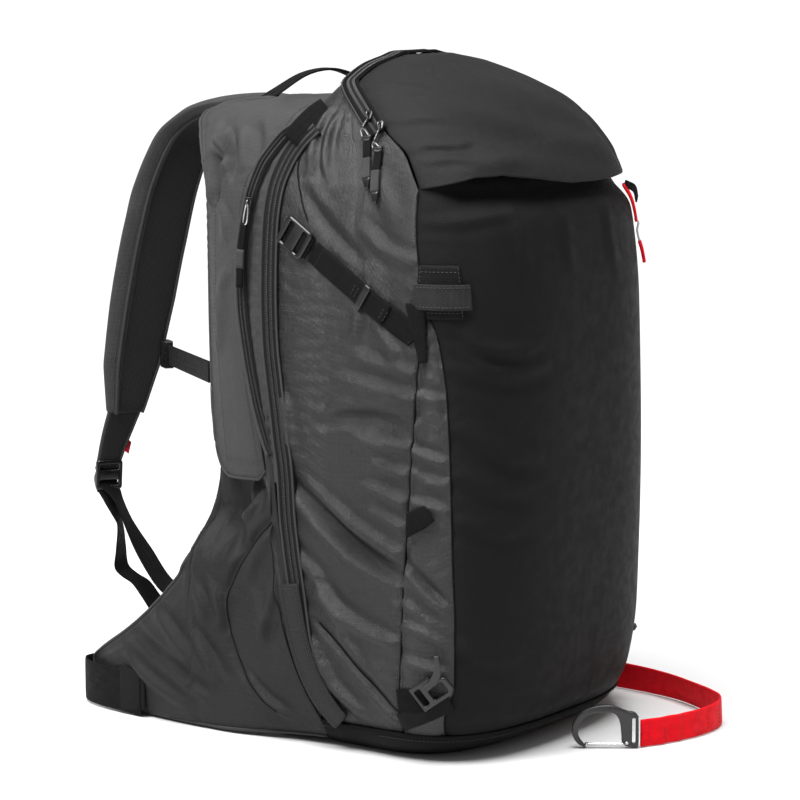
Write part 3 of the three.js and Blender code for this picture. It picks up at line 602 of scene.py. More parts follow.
BLACK_SHELL = fabric("shell_black", grey(21), 0.5, rip=0.08, pitch=2.4, sheen=0, crumple=0.22, gloss=0.08)
# The lid's black is a lighter copy of the shell's black. This is painted light, standing in for the stronger
# light that falls on the lid from above.
LID_BLACK_PAINTED_LIGHTER = fabric("shell_black_lid_painted_lighter", grey(29), 0.5, rip=0.08, pitch=2.4, sheen=0, crumple=0.25, gloss=0.14)
GREY_SHELL = fabric("shell_grey", grey(31), 0.33, rip=0.3, pitch=4.6, crumple=0.5, gloss=0.42)
GREY_SIDE = fabric("shell_grey_side", grey(23), 0.33, rip=0.3, twill=True, pitch=4.8, crumple=0.5, gloss=0.42)
GREY_STRAP = fabric("strap_grey", grey(54), 0.46, rip=0.25, pitch=4.6, crumple=0.35, gloss=0.16)
GREY_HIP = fabric("hip_grey", grey(33), 0.42, rip=0.15, pitch=4.6, crumple=0.35, gloss=0.18)
LINING = fabric("lining", grey(88), 0.6, rip=0.1, crumple=0.2)
FOAM = spacer_mesh("foam_mesh", grey(34))
PIPING = fabric("binding", grey(52), 0.5, crumple=0.1)
# Dark matte cord, used for dark piping and zip ribs. In the seams it is painted shade: the dark line of each
# seam's groove.
DARK_PIPING_AND_SEAM_SHADE = fabric("binding_dark_and_seam_shade", grey(17), 0.6, sheen=0, crumple=0.1, gloss=0.05)
TAPE = fabric("zip_tape", grey(24), 0.6, sheen=0, crumple=0.1, yarn=1.2, gloss=0.08)
GREY_TAPE = webbing("tape_grey", grey(58))
WEB_BLACK = webbing("webbing_black", grey(16), gloss=0.06)
WEB_SOFT = webbing("webbing_tab", grey(36), gloss=0.12)
WEB_RED = webbing("webbing_red", srgb(226, 2, 24), 0.55)
WEB_DARK_RED = webbing("webbing_dark_red", srgb(150, 14, 34), 0.6)
THREAD = moulded("thread", grey(50), 0.6)
THREAD_PALE = moulded("thread_pale", grey(190), 0.6)
THREAD_RED = moulded("thread_red", srgb(150, 10, 22), 0.6)
PLASTIC = moulded("plastic_black", grey(16), 0.28)
PLASTIC_GREY = moulded("plastic_grey", grey(26), 0.28)
ANODISED = moulded("anodised_grey", grey(34), 0.34)
COIL = moulded("zip_coil", grey(34), 0.4, 0.1)
DARK_METAL = metal("dark_metal", grey(100), 0.28)
ALUMINIUM = metal("aluminium", grey(200), 0.3)
STEEL = metal("steel", grey(212), 0.24)
AIRBAG = fabric("airbag_red", srgb(190, 20, 32), 0.5, rip=0.15, crumple=0.7)
LENS = lens_material()
SLOT_MATERIALS = {"shell_black": BLACK_SHELL, "shell_grey": GREY_SHELL, "lining_grey": LINING,
                  "foam_black": FOAM, "webbing_black": WEB_BLACK, "webbing_red": WEB_RED,
                  "airbag_red": AIRBAG, "plastic_black": PLASTIC, "plastic_grey": PLASTIC_GREY,
                  "clear_lens": LENS, "zip_coil": COIL, "aluminium": ALUMINIUM, "steel": STEEL}


# ---------------------------------------------------------------- stage
TARGET = Vector((0, 0, 0.296))   # the middle of the pack
TOWARDS_CAMERA = Vector((-0.809, -0.5665, 0.1564)).normalized()
CAMERA_DISTANCE = 3.0


def make_camera():
    data = bpy.data.cameras.new("camera")
    data.lens, data.sensor_width = 148.5, 36
    data.shift_x, data.shift_y = -0.0375, -0.005
    camera = linked("camera", data)
    camera.location = TARGET + TOWARDS_CAMERA * CAMERA_DISTANCE
    camera.rotation_euler = (-TOWARDS_CAMERA).to_track_quat("-Z", "Y").to_euler()
    bpy.context.scene.camera = camera


def light(name, kind, azimuth, elevation, distance, energy, **settings):
    """A light aimed at the middle of the pack from an azimuth and elevation in degrees."""
    a, e = math.radians(azimuth), math.radians(elevation)
    way = Vector((math.sin(a) * math.cos(e), -math.cos(a) * math.cos(e), math.sin(e)))
    data = bpy.data.lights.new(name, kind)
    data.energy = energy
    for key, value in settings.items():
        setattr(data, key, value)
    lamp = linked(name, data)
    lamp.location = TARGET + way * distance
    lamp.rotation_euler = (-way).to_track_quat("-Z", "Y").to_euler()


FLOOR_HALF = 60000


def make_stage():
    points = [(x * FLOOR_HALF, y * FLOOR_HALF, -0.5) for x, y in ((-1, -1), (1, -1), (1, 1), (-1, 1))]
    s = Shader("pale_floor", **{"Roughness": 0.9, "Specular IOR Level": 0.0})
    pale = s.paint(Base_Color=s.shade((0.64, 0.64, 0.64), s.noise(2.0), 0.99, 1.01))
    make_mesh("floor", points, [(0, 1, 2, 3)], pale, smooth=False)
    world = bpy.data.worlds.new("studio")
    bpy.context.scene.world = world
    world.use_nodes = True
    sky = world.node_tree.nodes["Background"].inputs
    sky["Color"].default_value, sky["Strength"].default_value = (1, 1, 1, 1), 0.32
    light("top", "SUN", azimuth=-60, elevation=82, distance=0, energy=4.4, angle=math.radians(35))
    light("key", "AREA", azimuth=-106, elevation=50, distance=1.75, energy=33, shape="DISK", size=0.7)
    bpy.context.scene.view_settings.view_transform = "Standard"


make_camera()
make_stage()


# ---------------------------------------------------------------- main bag panels
TOP_START = 545                 # above this height the rear band turns over the top of the bag


front_seam, side_seam = profile(FRONT_SEAM), profile(SIDE_SEAM)


def flip(grid):
    return grid * np.array([-1, 1, 1])


def side_row(z, y_front, y_back, count):
    """Line across the left side at height z, from its front edge to its back edge."""
    angles = np.linspace(side_angle(y_front, z), side_angle(y_back, z), 160)
    return even(bag_rim(angles, np.full(160, float(z))), count)


def finish_panel(name, base, materials, seams, spare=(0.02, 0.02), folds=0.0, seed=1, cap=5.0, mask=0.0,
                 body="root", nodes=(), reach=2, hold=9.0, thick=CLOTH_THICK,
                 away_from=BAG_MIDDLE, pucker=0.0):
    """Settles a panel's spare cloth, draws its sewn edges in, and makes its mesh.

    seams are the depths that the top, bottom, first and last edges are drawn in by.
    """
    n = facing(base, away_from)
    distances = edge_distance(base)
    base = base + n * (np.broadcast_to(folds, base.shape[:2]) * FOLD_SCALE)[..., None]
    if pucker:
        near = np.exp(-distances[2] / 9) + np.exp(-distances[3] / 9)
        base = base + n * (pucker * near * noise_field(base.shape[:2], 1, seed + 5))[..., None]
    free = np.ones(base.shape[:2])
    dip = np.zeros(base.shape[:2])
    for distance, depth in zip(distances, seams):
        if depth is not None:
            free *= ease(0, hold, distance)
            dip += sewn(distance, depth)
    grid = relax(base, spare, free, seed, reach, cap) + n * dip[..., None]
    panel = fabric_panel(name, grid, materials, away_from, thick, mask, along_both(base))
    finished(panel, body, nodes)
    declare_cut(base, spare)
    return grid


def declare_cut(base, spare):
    """Works out the flat size a sewn panel was cut to, from its frame's size and the spare cloth, and keeps
    none of it.
    """
    down, across = (1 + float(np.mean(s)) for s in spare)
    rows, columns = along_both(base)


def lid_edge_line(count):
    """The lid's edge over the left side, from the flap's corner up to the top's back edge."""
    edge = smooth_line(LID_EDGE, count)
    return edge[:, 0], edge[:, 1]


def top_arc(start, origin, count):
    """Line on the bag from a point on its left, over the top in that point's plane, to its mirror."""
    reach = math.atan2(start[0], start[2] - origin[2])
    angles = np.linspace(reach, -reach, count)
    ways = np.stack([np.sin(angles), 0 * angles, np.cos(angles)], -1)
    return cast(np.broadcast_to(origin, ways.shape), ways)


def over_the_top(side_line, count):
    """A left-side line, carried over the top of the bag and down its mirror on the right."""
    end = side_line[-1]
    arc = top_arc(end, np.array([0, end[1], end[2] - 46]), 60)
    return even(np.vstack([side_line, arc[1:-1], flip(side_line[::-1])]), count)


SIDE_FOLDS = [                   # ((y, z) line, width, height, lean) on the side panel
    ([(35, 247), (19, 230), (-9, 207), (-42, 184), (-87, 165)], 11, -6.5, 0.15),
    ([(40, 236), (2, 201), (-26, 180), (-47, 170), (-76, 160)], 7, 3.6, 0),
    ([(25, 243), (-26, 209), (-53, 196), (-81, 180)], 7, 3.0, 0),
    ([(-30, 290), (-58, 284), (-92, 284)], 6, 3.2, 0.6),
    ([(-50, 268), (-70, 262), (-93, 258)], 5, 2.4, 0.6),
    ([(-40, 246), (-60, 242), (-89, 233)], 6, 2.8, 0.5),
    ([(-45, 226), (-66, 219), (-88, 209)], 5, 2.2, 0.5),
    ([(-4, 297), (-30, 305), (-64, 306), (-94, 301)], 8, -3.6, 0.5),
    ([(-20, 336), (-60, 331), (-97, 324)], 7, 2.6, 0.5),
    ([(-42, 398), (-40, 384), (-36, 366)], 6, 3.0, 0.4),
    ([(-62, 384), (-70, 371), (-80, 352)], 6, 3.0, 0.4),
    ([(-30, 360), (-62, 352), (-96, 346)], 6, 2.0, 0.5),
    ([(6, 118), (-36, 80), (-64, 53), (-80, 38)], 4, -3.2, 0.3),
    ([(8, 150), (-30, 122), (-80, 108)], 9, 2.8, 0.4),
    ([(30, 180), (0, 150), (-30, 96), (-52, 60)], 8, 2.4, 0.4),
    ([(20, 110), (-10, 62), (-40, 36)], 7, 2.6, 0.4),
    ([(50, 330), (38, 300), (34, 262)], 6, 2.4, 0.4),
    ([(-50, 515), (-60, 500), (-72, 470)], 9, 2.2, 0.3),
    ([(10, 560), (8, 530), (-4, 500)], 5, 2.4, 0.6),
    ([(18, 566), (22, 540), (20, 505)], 5, 2.4, 0.6),
    ([(30, 500), (0, 470), (-40, 440)], 7, -2.4, 0.3),
    ([(-40, 470), (-66, 450), (-94, 440)], 7, 2.0, 0.5),
]


lid_y = profile([(z, y) for y, z in LID_EDGE])


def top_rows(columns):
    """Rows of the rear band across the top of the bag, from the left side to the right."""
    edge_z = np.linspace(TOP_START, LID_EDGE[-1][1], 24)
    side_front = np.array([on_side(lid_y(z) + 2, z) for z in edge_z])
    back_z = np.array([TOP_START, 560, 574, 585, 594])
    side_back = smooth_line([on_side(back_y(z) - 6, z) for z in back_z], 40)
    rows = 72
    fronts, backs = over_the_top(side_front, rows), over_the_top(side_back, rows)
    turn = np.sin(np.linspace(0, math.pi, rows))
    centres = np.stack([np.linspace(-30, 30, rows), np.full(rows, 0.0), TOP_START - 70 * turn], -1)
    top = []
    for a, b, c in zip(fronts, backs, centres):
        chord = mix(a, b, np.linspace(0, 1, 40)[:, None])
        top.append(even(cast(np.broadcast_to(c, chord.shape), chord - c), columns))
    return np.array(top)


def make_rear_band():
    """Grey cloth up the left side, over the top behind the lid, and down the right side."""
    columns = 36
    heights = np.linspace(BASE_TOP, TOP_START, 118)
    front = [side_seam(z) if z < LID_CORNER_Z else lid_y(z) + 2 for z in heights]
    left = np.array([side_row(z, y, back_y(z) - 6, columns) for z, y in zip(heights, front)])
    base = np.concatenate([left, top_rows(columns)[1:-1], flip(left[::-1])])
    y, z = base[..., 1], base[..., 2]
    folds = creases(y, z, SIDE_FOLDS)
    folds = folds * ease(4, 30, np.abs(base[..., 0]))
    below = ease(480, 380, z)
    low = ease(330, 60, z)
    spare_down = 0.012 + 0.02 * below + 0.022 * low
    spare_across = 0.006 + 0.008 * low
    mask = strap_line_side(y, z) / 30
    finish_panel("side_and_top_cloth", base, [GREY_SIDE, LINING], (1.2, 1.2, 1.6, 0.5),
                 spare=(spare_down, spare_across), folds=folds, seed=4, cap=6.5, mask=mask, reach=3,
                 pucker=1.5, nodes=("left_side_panel", "right_side_panel", "top_rear_panel"))


STRAP_TOP, STRAP_BOTTOM = (12, 442), (-91, 378)


def strap_line_side(y, z):
    """Distance above the line of the compression strap, on the side."""
    way = np.array(STRAP_BOTTOM, float) - STRAP_TOP
    way /= np.linalg.norm(way)
    return (y - STRAP_TOP[0]) * way[1] - (z - STRAP_TOP[1]) * way[0]


FRONT_FOLDS = [                  # ((x, z) line, width, height, lean) on the front panel
    ([(-142, 384), (-128, 364), (-96, 358), (-70, 362)], 7, 3.4, 0.6),
    ([(-143, 366), (-130, 352), (-112, 340)], 5, 2.0, 0.6),
    ([(-138, 470), (-110, 476), (-80, 480)], 7, 2.4, 0.5),
    ([(-144, 345), (-110, 338), (-60, 346)], 10, 2.4, 0.6),
    ([(-147, 300), (-116, 272), (-70, 262)], 10, 2.6, 0.6),
    ([(-147, 258), (-120, 240), (-84, 236)], 9, 2.2, 0.6),
    ([(-147, 215), (-118, 204), (-84, 204)], 9, 1.6, 0.6),
    ([(-150, 108), (-126, 92), (-90, 86)], 10, 1.8, 0.5),
    ([(-96, 490), (-90, 460), (-92, 430)], 8, 1.6, 0.5),
    ([(-30, 486), (-34, 450), (-30, 420)], 9, 1.4, 0.5),
    ([(40, 486), (36, 450), (44, 410)], 9, 1.4, 0.5),
    ([(-120, 40), (-60, 32), (0, 34), (70, 30)], 8, 1.8, 0.5),
]
POCKET_RECESS = 6                # how far the front panel steps back under the flap
FRONT_TOP = 516


def make_front():
    base = []
    for z in np.linspace(BASE_TOP, FRONT_TOP, 112):
        start = side_angle(front_seam(min(z, LID_CORNER_Z)), z)
        base.append(even(bag_rim(np.linspace(start, math.pi - start, 200), np.full(200, z)), 92))
    base = np.array(base)
    x, z = base[..., 0], base[..., 2]
    folds = creases(x, z, FRONT_FOLDS)
    width = np.abs(x) / half_width(z)
    recess = POCKET_RECESS * ease(468, 506, z) * ease(0.97, 0.8, width)
    near_seam = ease(0.62, 0.9, width) * np.where(x < 0, 1, 0.25)
    spare_down = 0.003 + 0.017 * near_seam
    finish_panel("front_cloth", base, [BLACK_SHELL, LINING], (None, 1.0, 1.6, 1.6),
                 spare=(spare_down, 0.003), folds=folds * 0.75 - recess, seed=11, cap=4.5, reach=4,
                 nodes=("front_panel",))


STRIP_FOLDS = [                  # ((y, z) line, width, height, lean) on the strip beside the front
    ([(-86, 184), (-104, 164), (-122, 146)], 3.6, -3.0, 0.2),
    ([(-87, 176), (-106, 152), (-124, 132)], 5, 2.2, 0),
    ([(-90, 282), (-104, 276), (-122, 270)], 5, 2.2, 0.6),
    ([(-92, 262), (-108, 254), (-124, 250)], 5, 1.8, 0.6),
    ([(-90, 236), (-110, 232), (-126, 226)], 6, 1.8, 0.6),
    ([(-86, 128), (-104, 122), (-125, 110)], 6, 2.4, 0.6),
    ([(-84, 150), (-104, 132), (-125, 124)], 5, 1.8, 0.6),
    ([(-94, 330), (-106, 326), (-118, 324)], 5, 1.6, 0.6),
    ([(-80, 96), (-100, 92), (-124, 84)], 6, 1.8, 0.6),
]
STRIP_TOP = 396
RIGHT_STRIP_SHARE = 0.35         # the folds of the right strip are this much of the left one's


def make_strip(side):
    heights = np.linspace(BASE_TOP, STRIP_TOP, 104)
    base = np.array([side_row(z, front_seam(z), side_seam(z), 16) for z in heights])
    folds = creases(base[..., 1], base[..., 2], STRIP_FOLDS)
    if side > 0:
        base, folds = flip(base), folds * RIGHT_STRIP_SHARE
    finish_panel(f"{SIDES[side]}_strip_cloth", base, [GREY_SHELL, LINING], (None, 1.0, 1.4, 1.4),
                 spare=(0.03, 0.008), folds=folds, seed=21 + side, cap=4.0, reach=2, hold=5.0, pucker=1.6)


FLAP_EDGE = [(-143, 500), (-128, 505), (-115, 509), (-93, 510), (-71, 507), (-38, 502), (-5, 498),
             (28, 497), (60, 497), (100, 498), (125, 502), (143, 507)]
LID_FOLDS = [                    # ((x, z) line, width, height, lean), seen from the front
    ([(-137, 528), (-128, 534), (-112, 534), (-98, 537)], 3.6, 1.5, 0.6),
    ([(-137, 520), (-124, 523), (-112, 521)], 3.6, 1.2, 0.6),
    ([(-130, 552), (-116, 556), (-104, 555)], 3.6, 1.2, 0.6),
    ([(-112, 578), (-98, 580), (-86, 579)], 3.6, 1.1, 0.6),
    ([(-120, 566), (-90, 560), (-50, 548), (-10, 540)], 16, 2.2, 0.4),
    ([(-60, 584), (0, 568), (60, 548), (100, 524)], 18, 2.4, 0.4),
    ([(-20, 534), (40, 524), (100, 508)], 14, 2.0, 0.5),
    ([(-130, 516), (-100, 518), (-50, 520)], 9, 1.8, 0.5),
    ([(60, 570), (95, 555), (125, 530)], 12, 2.0, 0.4),
    ([(110, 512), (120, 530), (116, 552)], 9, 2.2, 0.4),
]


def make_lid():
    """Black lid: rows run from the flap's edge at the front over to the zip behind."""
    rows, columns = 74, 92
    edge_y, edge_z = lid_edge_line(rows)
    tilt = np.linspace(0, math.pi / 2, rows)
    base = []
    for y, z, a in zip(edge_y, edge_z, tilt):
        centre = np.array([0, y, z])
        way = np.array([0, -math.cos(a), math.sin(a)])
        swing = np.linspace(0, math.pi, 240)[:, None]
        ways = np.array([-1, 0, 0]) * np.cos(swing) + way * np.sin(swing)
        base.append(even(cast(np.broadcast_to(centre, ways.shape), ways), columns))
    base = np.array(base)
    x = base[0, :, 0]
    drop = np.interp(x, *np.array(FLAP_EDGE, float).T) - base[0, :, 2]
    share = np.linspace(1, 0, 12)[:, None] ** 1.5
    base[:12, :, 2] += share * drop
    n = facing(base, (0, -40, 480))
    down = along_both(base)[1]
    middle = np.sin(math.pi * np.linspace(0, 1, columns)) ** 0.4
    proud = 5.0 * np.exp(-(down / 26) ** 2) * middle
    pucker = 2.4 * np.exp(-(down / 20) ** 2) * noise_field((rows, columns), 5, 77) * middle
    base = base + n * (proud + pucker)[..., None]
    folds = creases(base[..., 0], base[..., 2], LID_FOLDS)
    # The lid takes the lighter copy of the black shell, its colour painted lighter for the light from above.
    finish_panel("lid_cloth", base, [LID_BLACK_PAINTED_LIGHTER, LINING], (None, 1.0, 1.4, 1.4), spare=(0.006, 0.010),
                 folds=folds, seed=31, cap=4.5, reach=5, body=None, nodes=("lid_panel",),
                 thick=2.0)
    lid = bpy.data.objects["lid_cloth"]
    apply_modifiers(lid)
    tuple(LID_HINGE[0])
    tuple(LID_HINGE[1])
    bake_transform(lid)


LID_HINGE = (0, -0.162, 0.499), (0, -0.142, 0.511)


def make_base():
    """Black base: a rim up to the base seam and the flat underside."""
    count, rim = 180, 8
    angles = np.linspace(0, 2 * math.pi, count + 1)[:-1]
    rings = [bag_rim(angles, np.full(count, float(z))) for z in np.linspace(BASE_TOP, 1.2, rim)]
    floor_ring = rings[-1] * np.array([1, 1, 0]) + np.array([0, 0, SOLE_Z])
    middle = np.array([0, -50, SOLE_Z])
    rings += [mix(floor_ring, middle, t) for t in (0.02, 0.06, 0.15, 0.3, 0.5, 0.7, 0.9)]
    rings = np.array(rings)
    bulge = 1.4 * np.sin(np.linspace(0, math.pi, rim))[:, None, None]
    rings[:rim] += unit(rings[:rim] - np.array([0, -50, 12])) * bulge
    points = np.vstack([rings.reshape(-1, 3), middle])
    last = (len(rings) - 1) * count
    faces = grid_faces(len(rings), count, wrap=True)
    faces += [[last + i, last + (i + 1) % count, len(points) - 1] for i in range(count)]
    obj = make_mesh("base_cloth", points, faces, [BLACK_SHELL, LINING])
    outward(obj)
    u = np.append(np.tile(angles * 160, len(rings)), 0)
    v = np.append(np.repeat(np.arange(len(rings)) * 12.0, count), 0)
    add_weave(obj, u, v)
    modify(obj, "SUBSURF", levels=1, render_levels=1)
    modify(obj, "SOLIDIFY", thickness=CLOTH_THICK * MM, offset=-1, material_offset=1)
    finished(obj, nodes=("base_panel",))


def make_upper_back():
    """Cloth of the bag's back above the back unit, up to the top's rear edge."""
    rows = []
    for z in np.concatenate([np.linspace(536, 592, 22), np.linspace(595, 605.4, 8)]):
        edge = abs(float(side_angle(back_y(z) - 14, z)))
        angles = np.linspace(-edge, edge - math.pi, 400)
        rows.append(even(bag_rim(angles, np.full(400, z)), 64))
    base = np.array(rows)
    base[..., 0] *= 1 - 1.8 / half_width(base[..., 2])   # its sides lie inside the side cloth
    finish_panel("upper_back_cloth", base, [GREY_SIDE, LINING], (0.4, 0.4, 0.4, 0.4), spare=(0.012, 0.006),
                 seed=17, cap=2.5, reach=3)


make_rear_band()
make_upper_back()
make_front()
for each_side in SIDES:
    make_strip(each_side)
make_lid()
make_base()


# ---------------------------------------------------------------- laying trim on the made cloth
def surface_normals(points):
    """Outward normals of the bag's surface at points on it."""
    steps = np.eye(3) * 0.6
    slopes = [outside(points + step) - outside(points - step) for step in steps]
    return unit(np.stack(slopes, -1))


def piece_trees(*names):
    graph = fresh_graph()
    return [BVHTree.FromObject(bpy.data.objects[name], graph) for name in names]


def heights_over(trees, points, normals, reach=24.0):
    """How far the made pieces stand above each point, along its normal."""
    heights = np.zeros(len(points))
    for i, (point, normal) in enumerate(zip(points, normals)):
        start = Vector((point + normal * reach) * MM)
        found = [tree.ray_cast(start, Vector(-normal), 2 * reach * MM)[3] for tree in trees]
        found = [distance for distance in found if distance is not None]
        if found:
            heights[i] = reach - min(found) / MM
    return heights


def on_piece(name, line, normals, lift=0.0):
    """The line dropped along its normals on a made piece."""
    heights = heights_over(piece_trees(name), line, normals, reach=30.0)
    return line + normals * (heights + lift)[:, None]


def level(heights, span):
    """Heights of a taut strap over bumps: the highest nearby, smoothed."""
    padded = np.pad(heights, span, mode="edge")
    top = np.array([padded[i:i + 2 * span + 1].max() for i in range(len(heights))])
    padded = np.pad(top, span, mode="edge")
    return np.array([padded[i:i + 2 * span + 1].mean() for i in range(len(heights))])


def across_of(points, normals):
    """Unit vectors across a line on the surface."""
    return unit(np.cross(normals, np.gradient(points, axis=0)))


def laid(points, half=0.0, lift=0.0, span=2, normals=None):
    """The line laid on the cloth, as wide as `half` each way, with its normals and across vectors."""
    normals = surface_normals(points) if normals is None else normals
    across = across_of(points, normals)
    heights = np.max([heights_over(TREES, points + across * side * half, normals)
                      for side in ((-1, 0, 1) if half else (0,))], axis=0)
    heights = level(heights, span) if span else heights
    line = points + normals * (heights + lift)[:, None]
    return line, normals, across_of(line, normals)


def laid_side(line, side, count=30, half=0.0, lift=0.0, span=2):
    """A line of (y, z) points laid on the cloth of one side of the bag."""
    flat = smooth_line(line, count)
    return laid(on_side(flat[:, 0], flat[:, 1], 0, side), half, lift, span)


# ---------------------------------------------------------------- straps, piping, stitches, plates
def flat_outline(thick):
    """Section of webbing: two flat faces and soft edges."""
    across = np.sin(np.linspace(-math.pi / 2, math.pi / 2, 9))
    rise = thick / 2 * (1 - np.abs(across) ** 14 * 0.6)
    top = np.stack([across, rise], -1)
    return np.vstack([top, (top * [1, -1])[::-1]])


def round_outline(radius, points):
    turn = np.linspace(0, 2 * math.pi, points, endpoint=False)
    return np.stack([np.cos(turn), np.sin(turn) * radius], -1)


def sweep(name, line, half, outline, material, out, loop=False, levels=0):
    """Closed skin along a line; the outline's points are (share of half, millimetres out)."""
    line = np.asarray(line, float)
    half = np.broadcast_to(np.asarray(half, float), line.shape)
    out = np.broadcast_to(np.asarray(out, float), line.shape)
    outline = np.broadcast_to(outline, (len(line),) + np.shape(outline)[-2:])
    points = line[:, None] + half[:, None] * outline[..., :1] + out[:, None] * outline[..., 1:]
    rows, columns = points.shape[:2]
    faces = grid_faces(rows + 1 if loop else rows, columns, wrap=True)
    if loop:
        faces = [[k % (rows * columns) for k in face] for face in faces]
    else:
        faces += [list(range(columns)), list(range((rows - 1) * columns, rows * columns))]
    obj = make_mesh(name, points.reshape(-1, 3), faces, material)
    u = outline[..., 0] * np.linalg.norm(half, axis=-1)[:, None]
    v = np.broadcast_to(along(line)[:, None], u.shape)
    add_weave(obj, u, v)
    outward(obj)
    if levels:
        modify(obj, "SUBSURF", levels=levels, render_levels=levels)
    return obj


def tape(name, line, normals, width, thick, material, body="root", nodes=()):
    """Webbing or tape lying with its back on a line; it is `width` wide and `thick` thick."""
    half = across_of(line, normals) * width / 2
    middle = line + normals * thick / 2
    return finished(sweep(name, middle, half, flat_outline(thick), material, normals), body, nodes)


def tube(name, line, radius, material, body="root", loop=False, nodes=()):
    """Round cord or piping along a line."""
    line = np.asarray(line, float)
    way = unit(np.gradient(line, axis=0))
    side = np.cross(way[0], [0.31, 0.17, 0.93])
    sides_of = []
    for w in way:
        side = side - w * np.dot(side, w)
        side = side / np.linalg.norm(side)
        sides_of.append(side)
    half = np.array(sides_of)
    out = np.cross(way, half)
    skin = sweep(name, line, half * radius, round_outline(radius, 8), material, out, loop=loop)
    return finished(skin, body, nodes)


def beads(centres, ways, normals, length, radius):
    """Small spindles, as points and faces: stitches, zip teeth."""
    ways, normals = unit(ways), unit(normals)
    sides = np.cross(ways, normals)
    shape = [ways * length / 2 - normals * radius * 0.4, ways * length * 0.3 + normals * radius,
             ways * length * 0.3 + sides * radius, ways * length * 0.3 - normals * radius,
             ways * length * 0.3 - sides * radius, -ways * length * 0.3 + normals * radius,
             -ways * length * 0.3 + sides * radius, -ways * length * 0.3 - normals * radius,
             -ways * length * 0.3 - sides * radius, -ways * length / 2 - normals * radius * 0.4]
    points = np.stack([centres + s for s in shape], 1)
    each = [(0, 1, 2), (0, 2, 3), (0, 3, 4), (0, 4, 1), (1, 5, 6, 2), (2, 6, 7, 3), (3, 7, 8, 4),
            (4, 8, 5, 1), (9, 6, 5), (9, 7, 6), (9, 8, 7), (9, 5, 8)]
    faces = [[k + 10 * i for k in face] for i in range(len(centres)) for face in each]
    return points.reshape(-1, 3), faces


def bead_rows(name, rows, material, length, radius, pitch, crosswise=False):
    """One piece of many spindles along (line, normals) rows, or across them like zip teeth."""
    points, faces = [], []
    for line, normals in rows:
        far = along(line)
        at = np.arange(pitch, far[-1] - pitch / 2, pitch)
        if len(at) == 0:
            continue
        up = unit(sampled(at, far, normals))
        way = unit(sampled(at, far, np.gradient(line, axis=0)))
        way = np.cross(up, way) if crosswise else way
        made, sides = beads(sampled(at, far, line), way, up, length, radius)
        start = sum(len(p) for p in points)
        points.append(made)
        faces += [[k + start for k in face] for face in sides]
    return finished(make_mesh(name, np.vstack(points), faces, material))


def stitches(name, rows, material=THREAD, lift=0.1):
    rows = [(line + normals * lift, normals) for line, normals in rows]
    return bead_rows(name, rows, material, 2.5, 0.3, 3.6)


def shifted(line, normals, across, lift=0.0):
    """The line moved sideways over the surface it lies on."""
    return line + across_of(line, normals) * across + normals * lift, normals


def rounded(x0, x1, y0, y1, corner):
    """Outline of a rectangle with round corners."""
    turn = np.linspace(0, math.pi / 2, 5)
    out = []
    for k, (x, y) in enumerate([(x1 - corner, y1 - corner), (x0 + corner, y1 - corner),
                                (x0 + corner, y0 + corner), (x1 - corner, y0 + corner)]):
        out += [(x + corner * math.cos(a + k * math.pi / 2), y + corner * math.sin(a + k * math.pi / 2))
                for a in turn]
    return out


def frame_at(origin, x_axis, y_axis):
    """Matrix of a frame in metres: z is x cross y, and y is then squared up to them."""
    x = Vector(x_axis).normalized()
    z = x.cross(Vector(y_axis)).normalized()
    matrix = Matrix((x, z.cross(x), z)).transposed().to_4x4()
    matrix.translation = Vector(origin) * MM
    return matrix


def plate(name, outline, holes, thick, bevel, place, material, body="root",
          nodes=()):
    """Flat moulded piece with round edges, its middle plane on the frame's XY plane."""
    curve = bpy.data.curves.new(name + "_outline", "CURVE")
    curve.dimensions, curve.fill_mode = "2D", "BOTH"
    curve.extrude, curve.bevel_depth = (thick / 2 - bevel) * MM, bevel * MM
    curve.offset, curve.bevel_resolution = -bevel * MM, 2
    for loop in [outline, *holes]:
        spline = curve.splines.new("POLY")
        spline.points.add(len(loop) - 1)
        for point, (x, y) in zip(spline.points, loop):
            point.co = (x * MM, y * MM, 0, 1)
        spline.use_cyclic_u = True
    source = linked(name + "_outline", curve)
    mesh = bpy.data.meshes.new_from_object(source.evaluated_get(fresh_graph()))
    bpy.data.objects.remove(source)
    bpy.data.curves.remove(curve)
    mesh.name = name
    mesh.transform(place)
    mesh.materials.clear()
    mesh.materials.append(material)
    obj = linked(name, mesh)
    outward(obj, weld=0.00001)
    obj.data.shade_smooth()
    obj.data.set_sharp_from_angle(angle=math.radians(38))
    return finished(obj, body, nodes)


def placed(place, points):
    """Points given in a frame's millimetres, as the row frame's millimetres."""
    return np.array([list(place @ (Vector(p) * MM)) for p in points]) / MM


def side_frame(y, z, lift, direction, side=-1):
    """Frame lying on the bag's side at (y, z), local X along a (y, z) direction."""
    here, ahead = on_side(y, z, lift), on_side(y + direction[0] * 4, z + direction[1] * 4, lift)
    normal = bag_normal(side_angle(y, z), z)
    x_axis = ahead - here
    y_axis = np.cross(normal, x_axis)
    if side > 0:
        here, x_axis, y_axis = flip(here), flip(x_axis), -flip(y_axis)
    return frame_at(here, x_axis, y_axis)


CLOTH_PANELS = ("side_and_top_cloth", "front_cloth", "left_strip_cloth", "right_strip_cloth", "lid_cloth")
TREES = piece_trees(*CLOTH_PANELS)


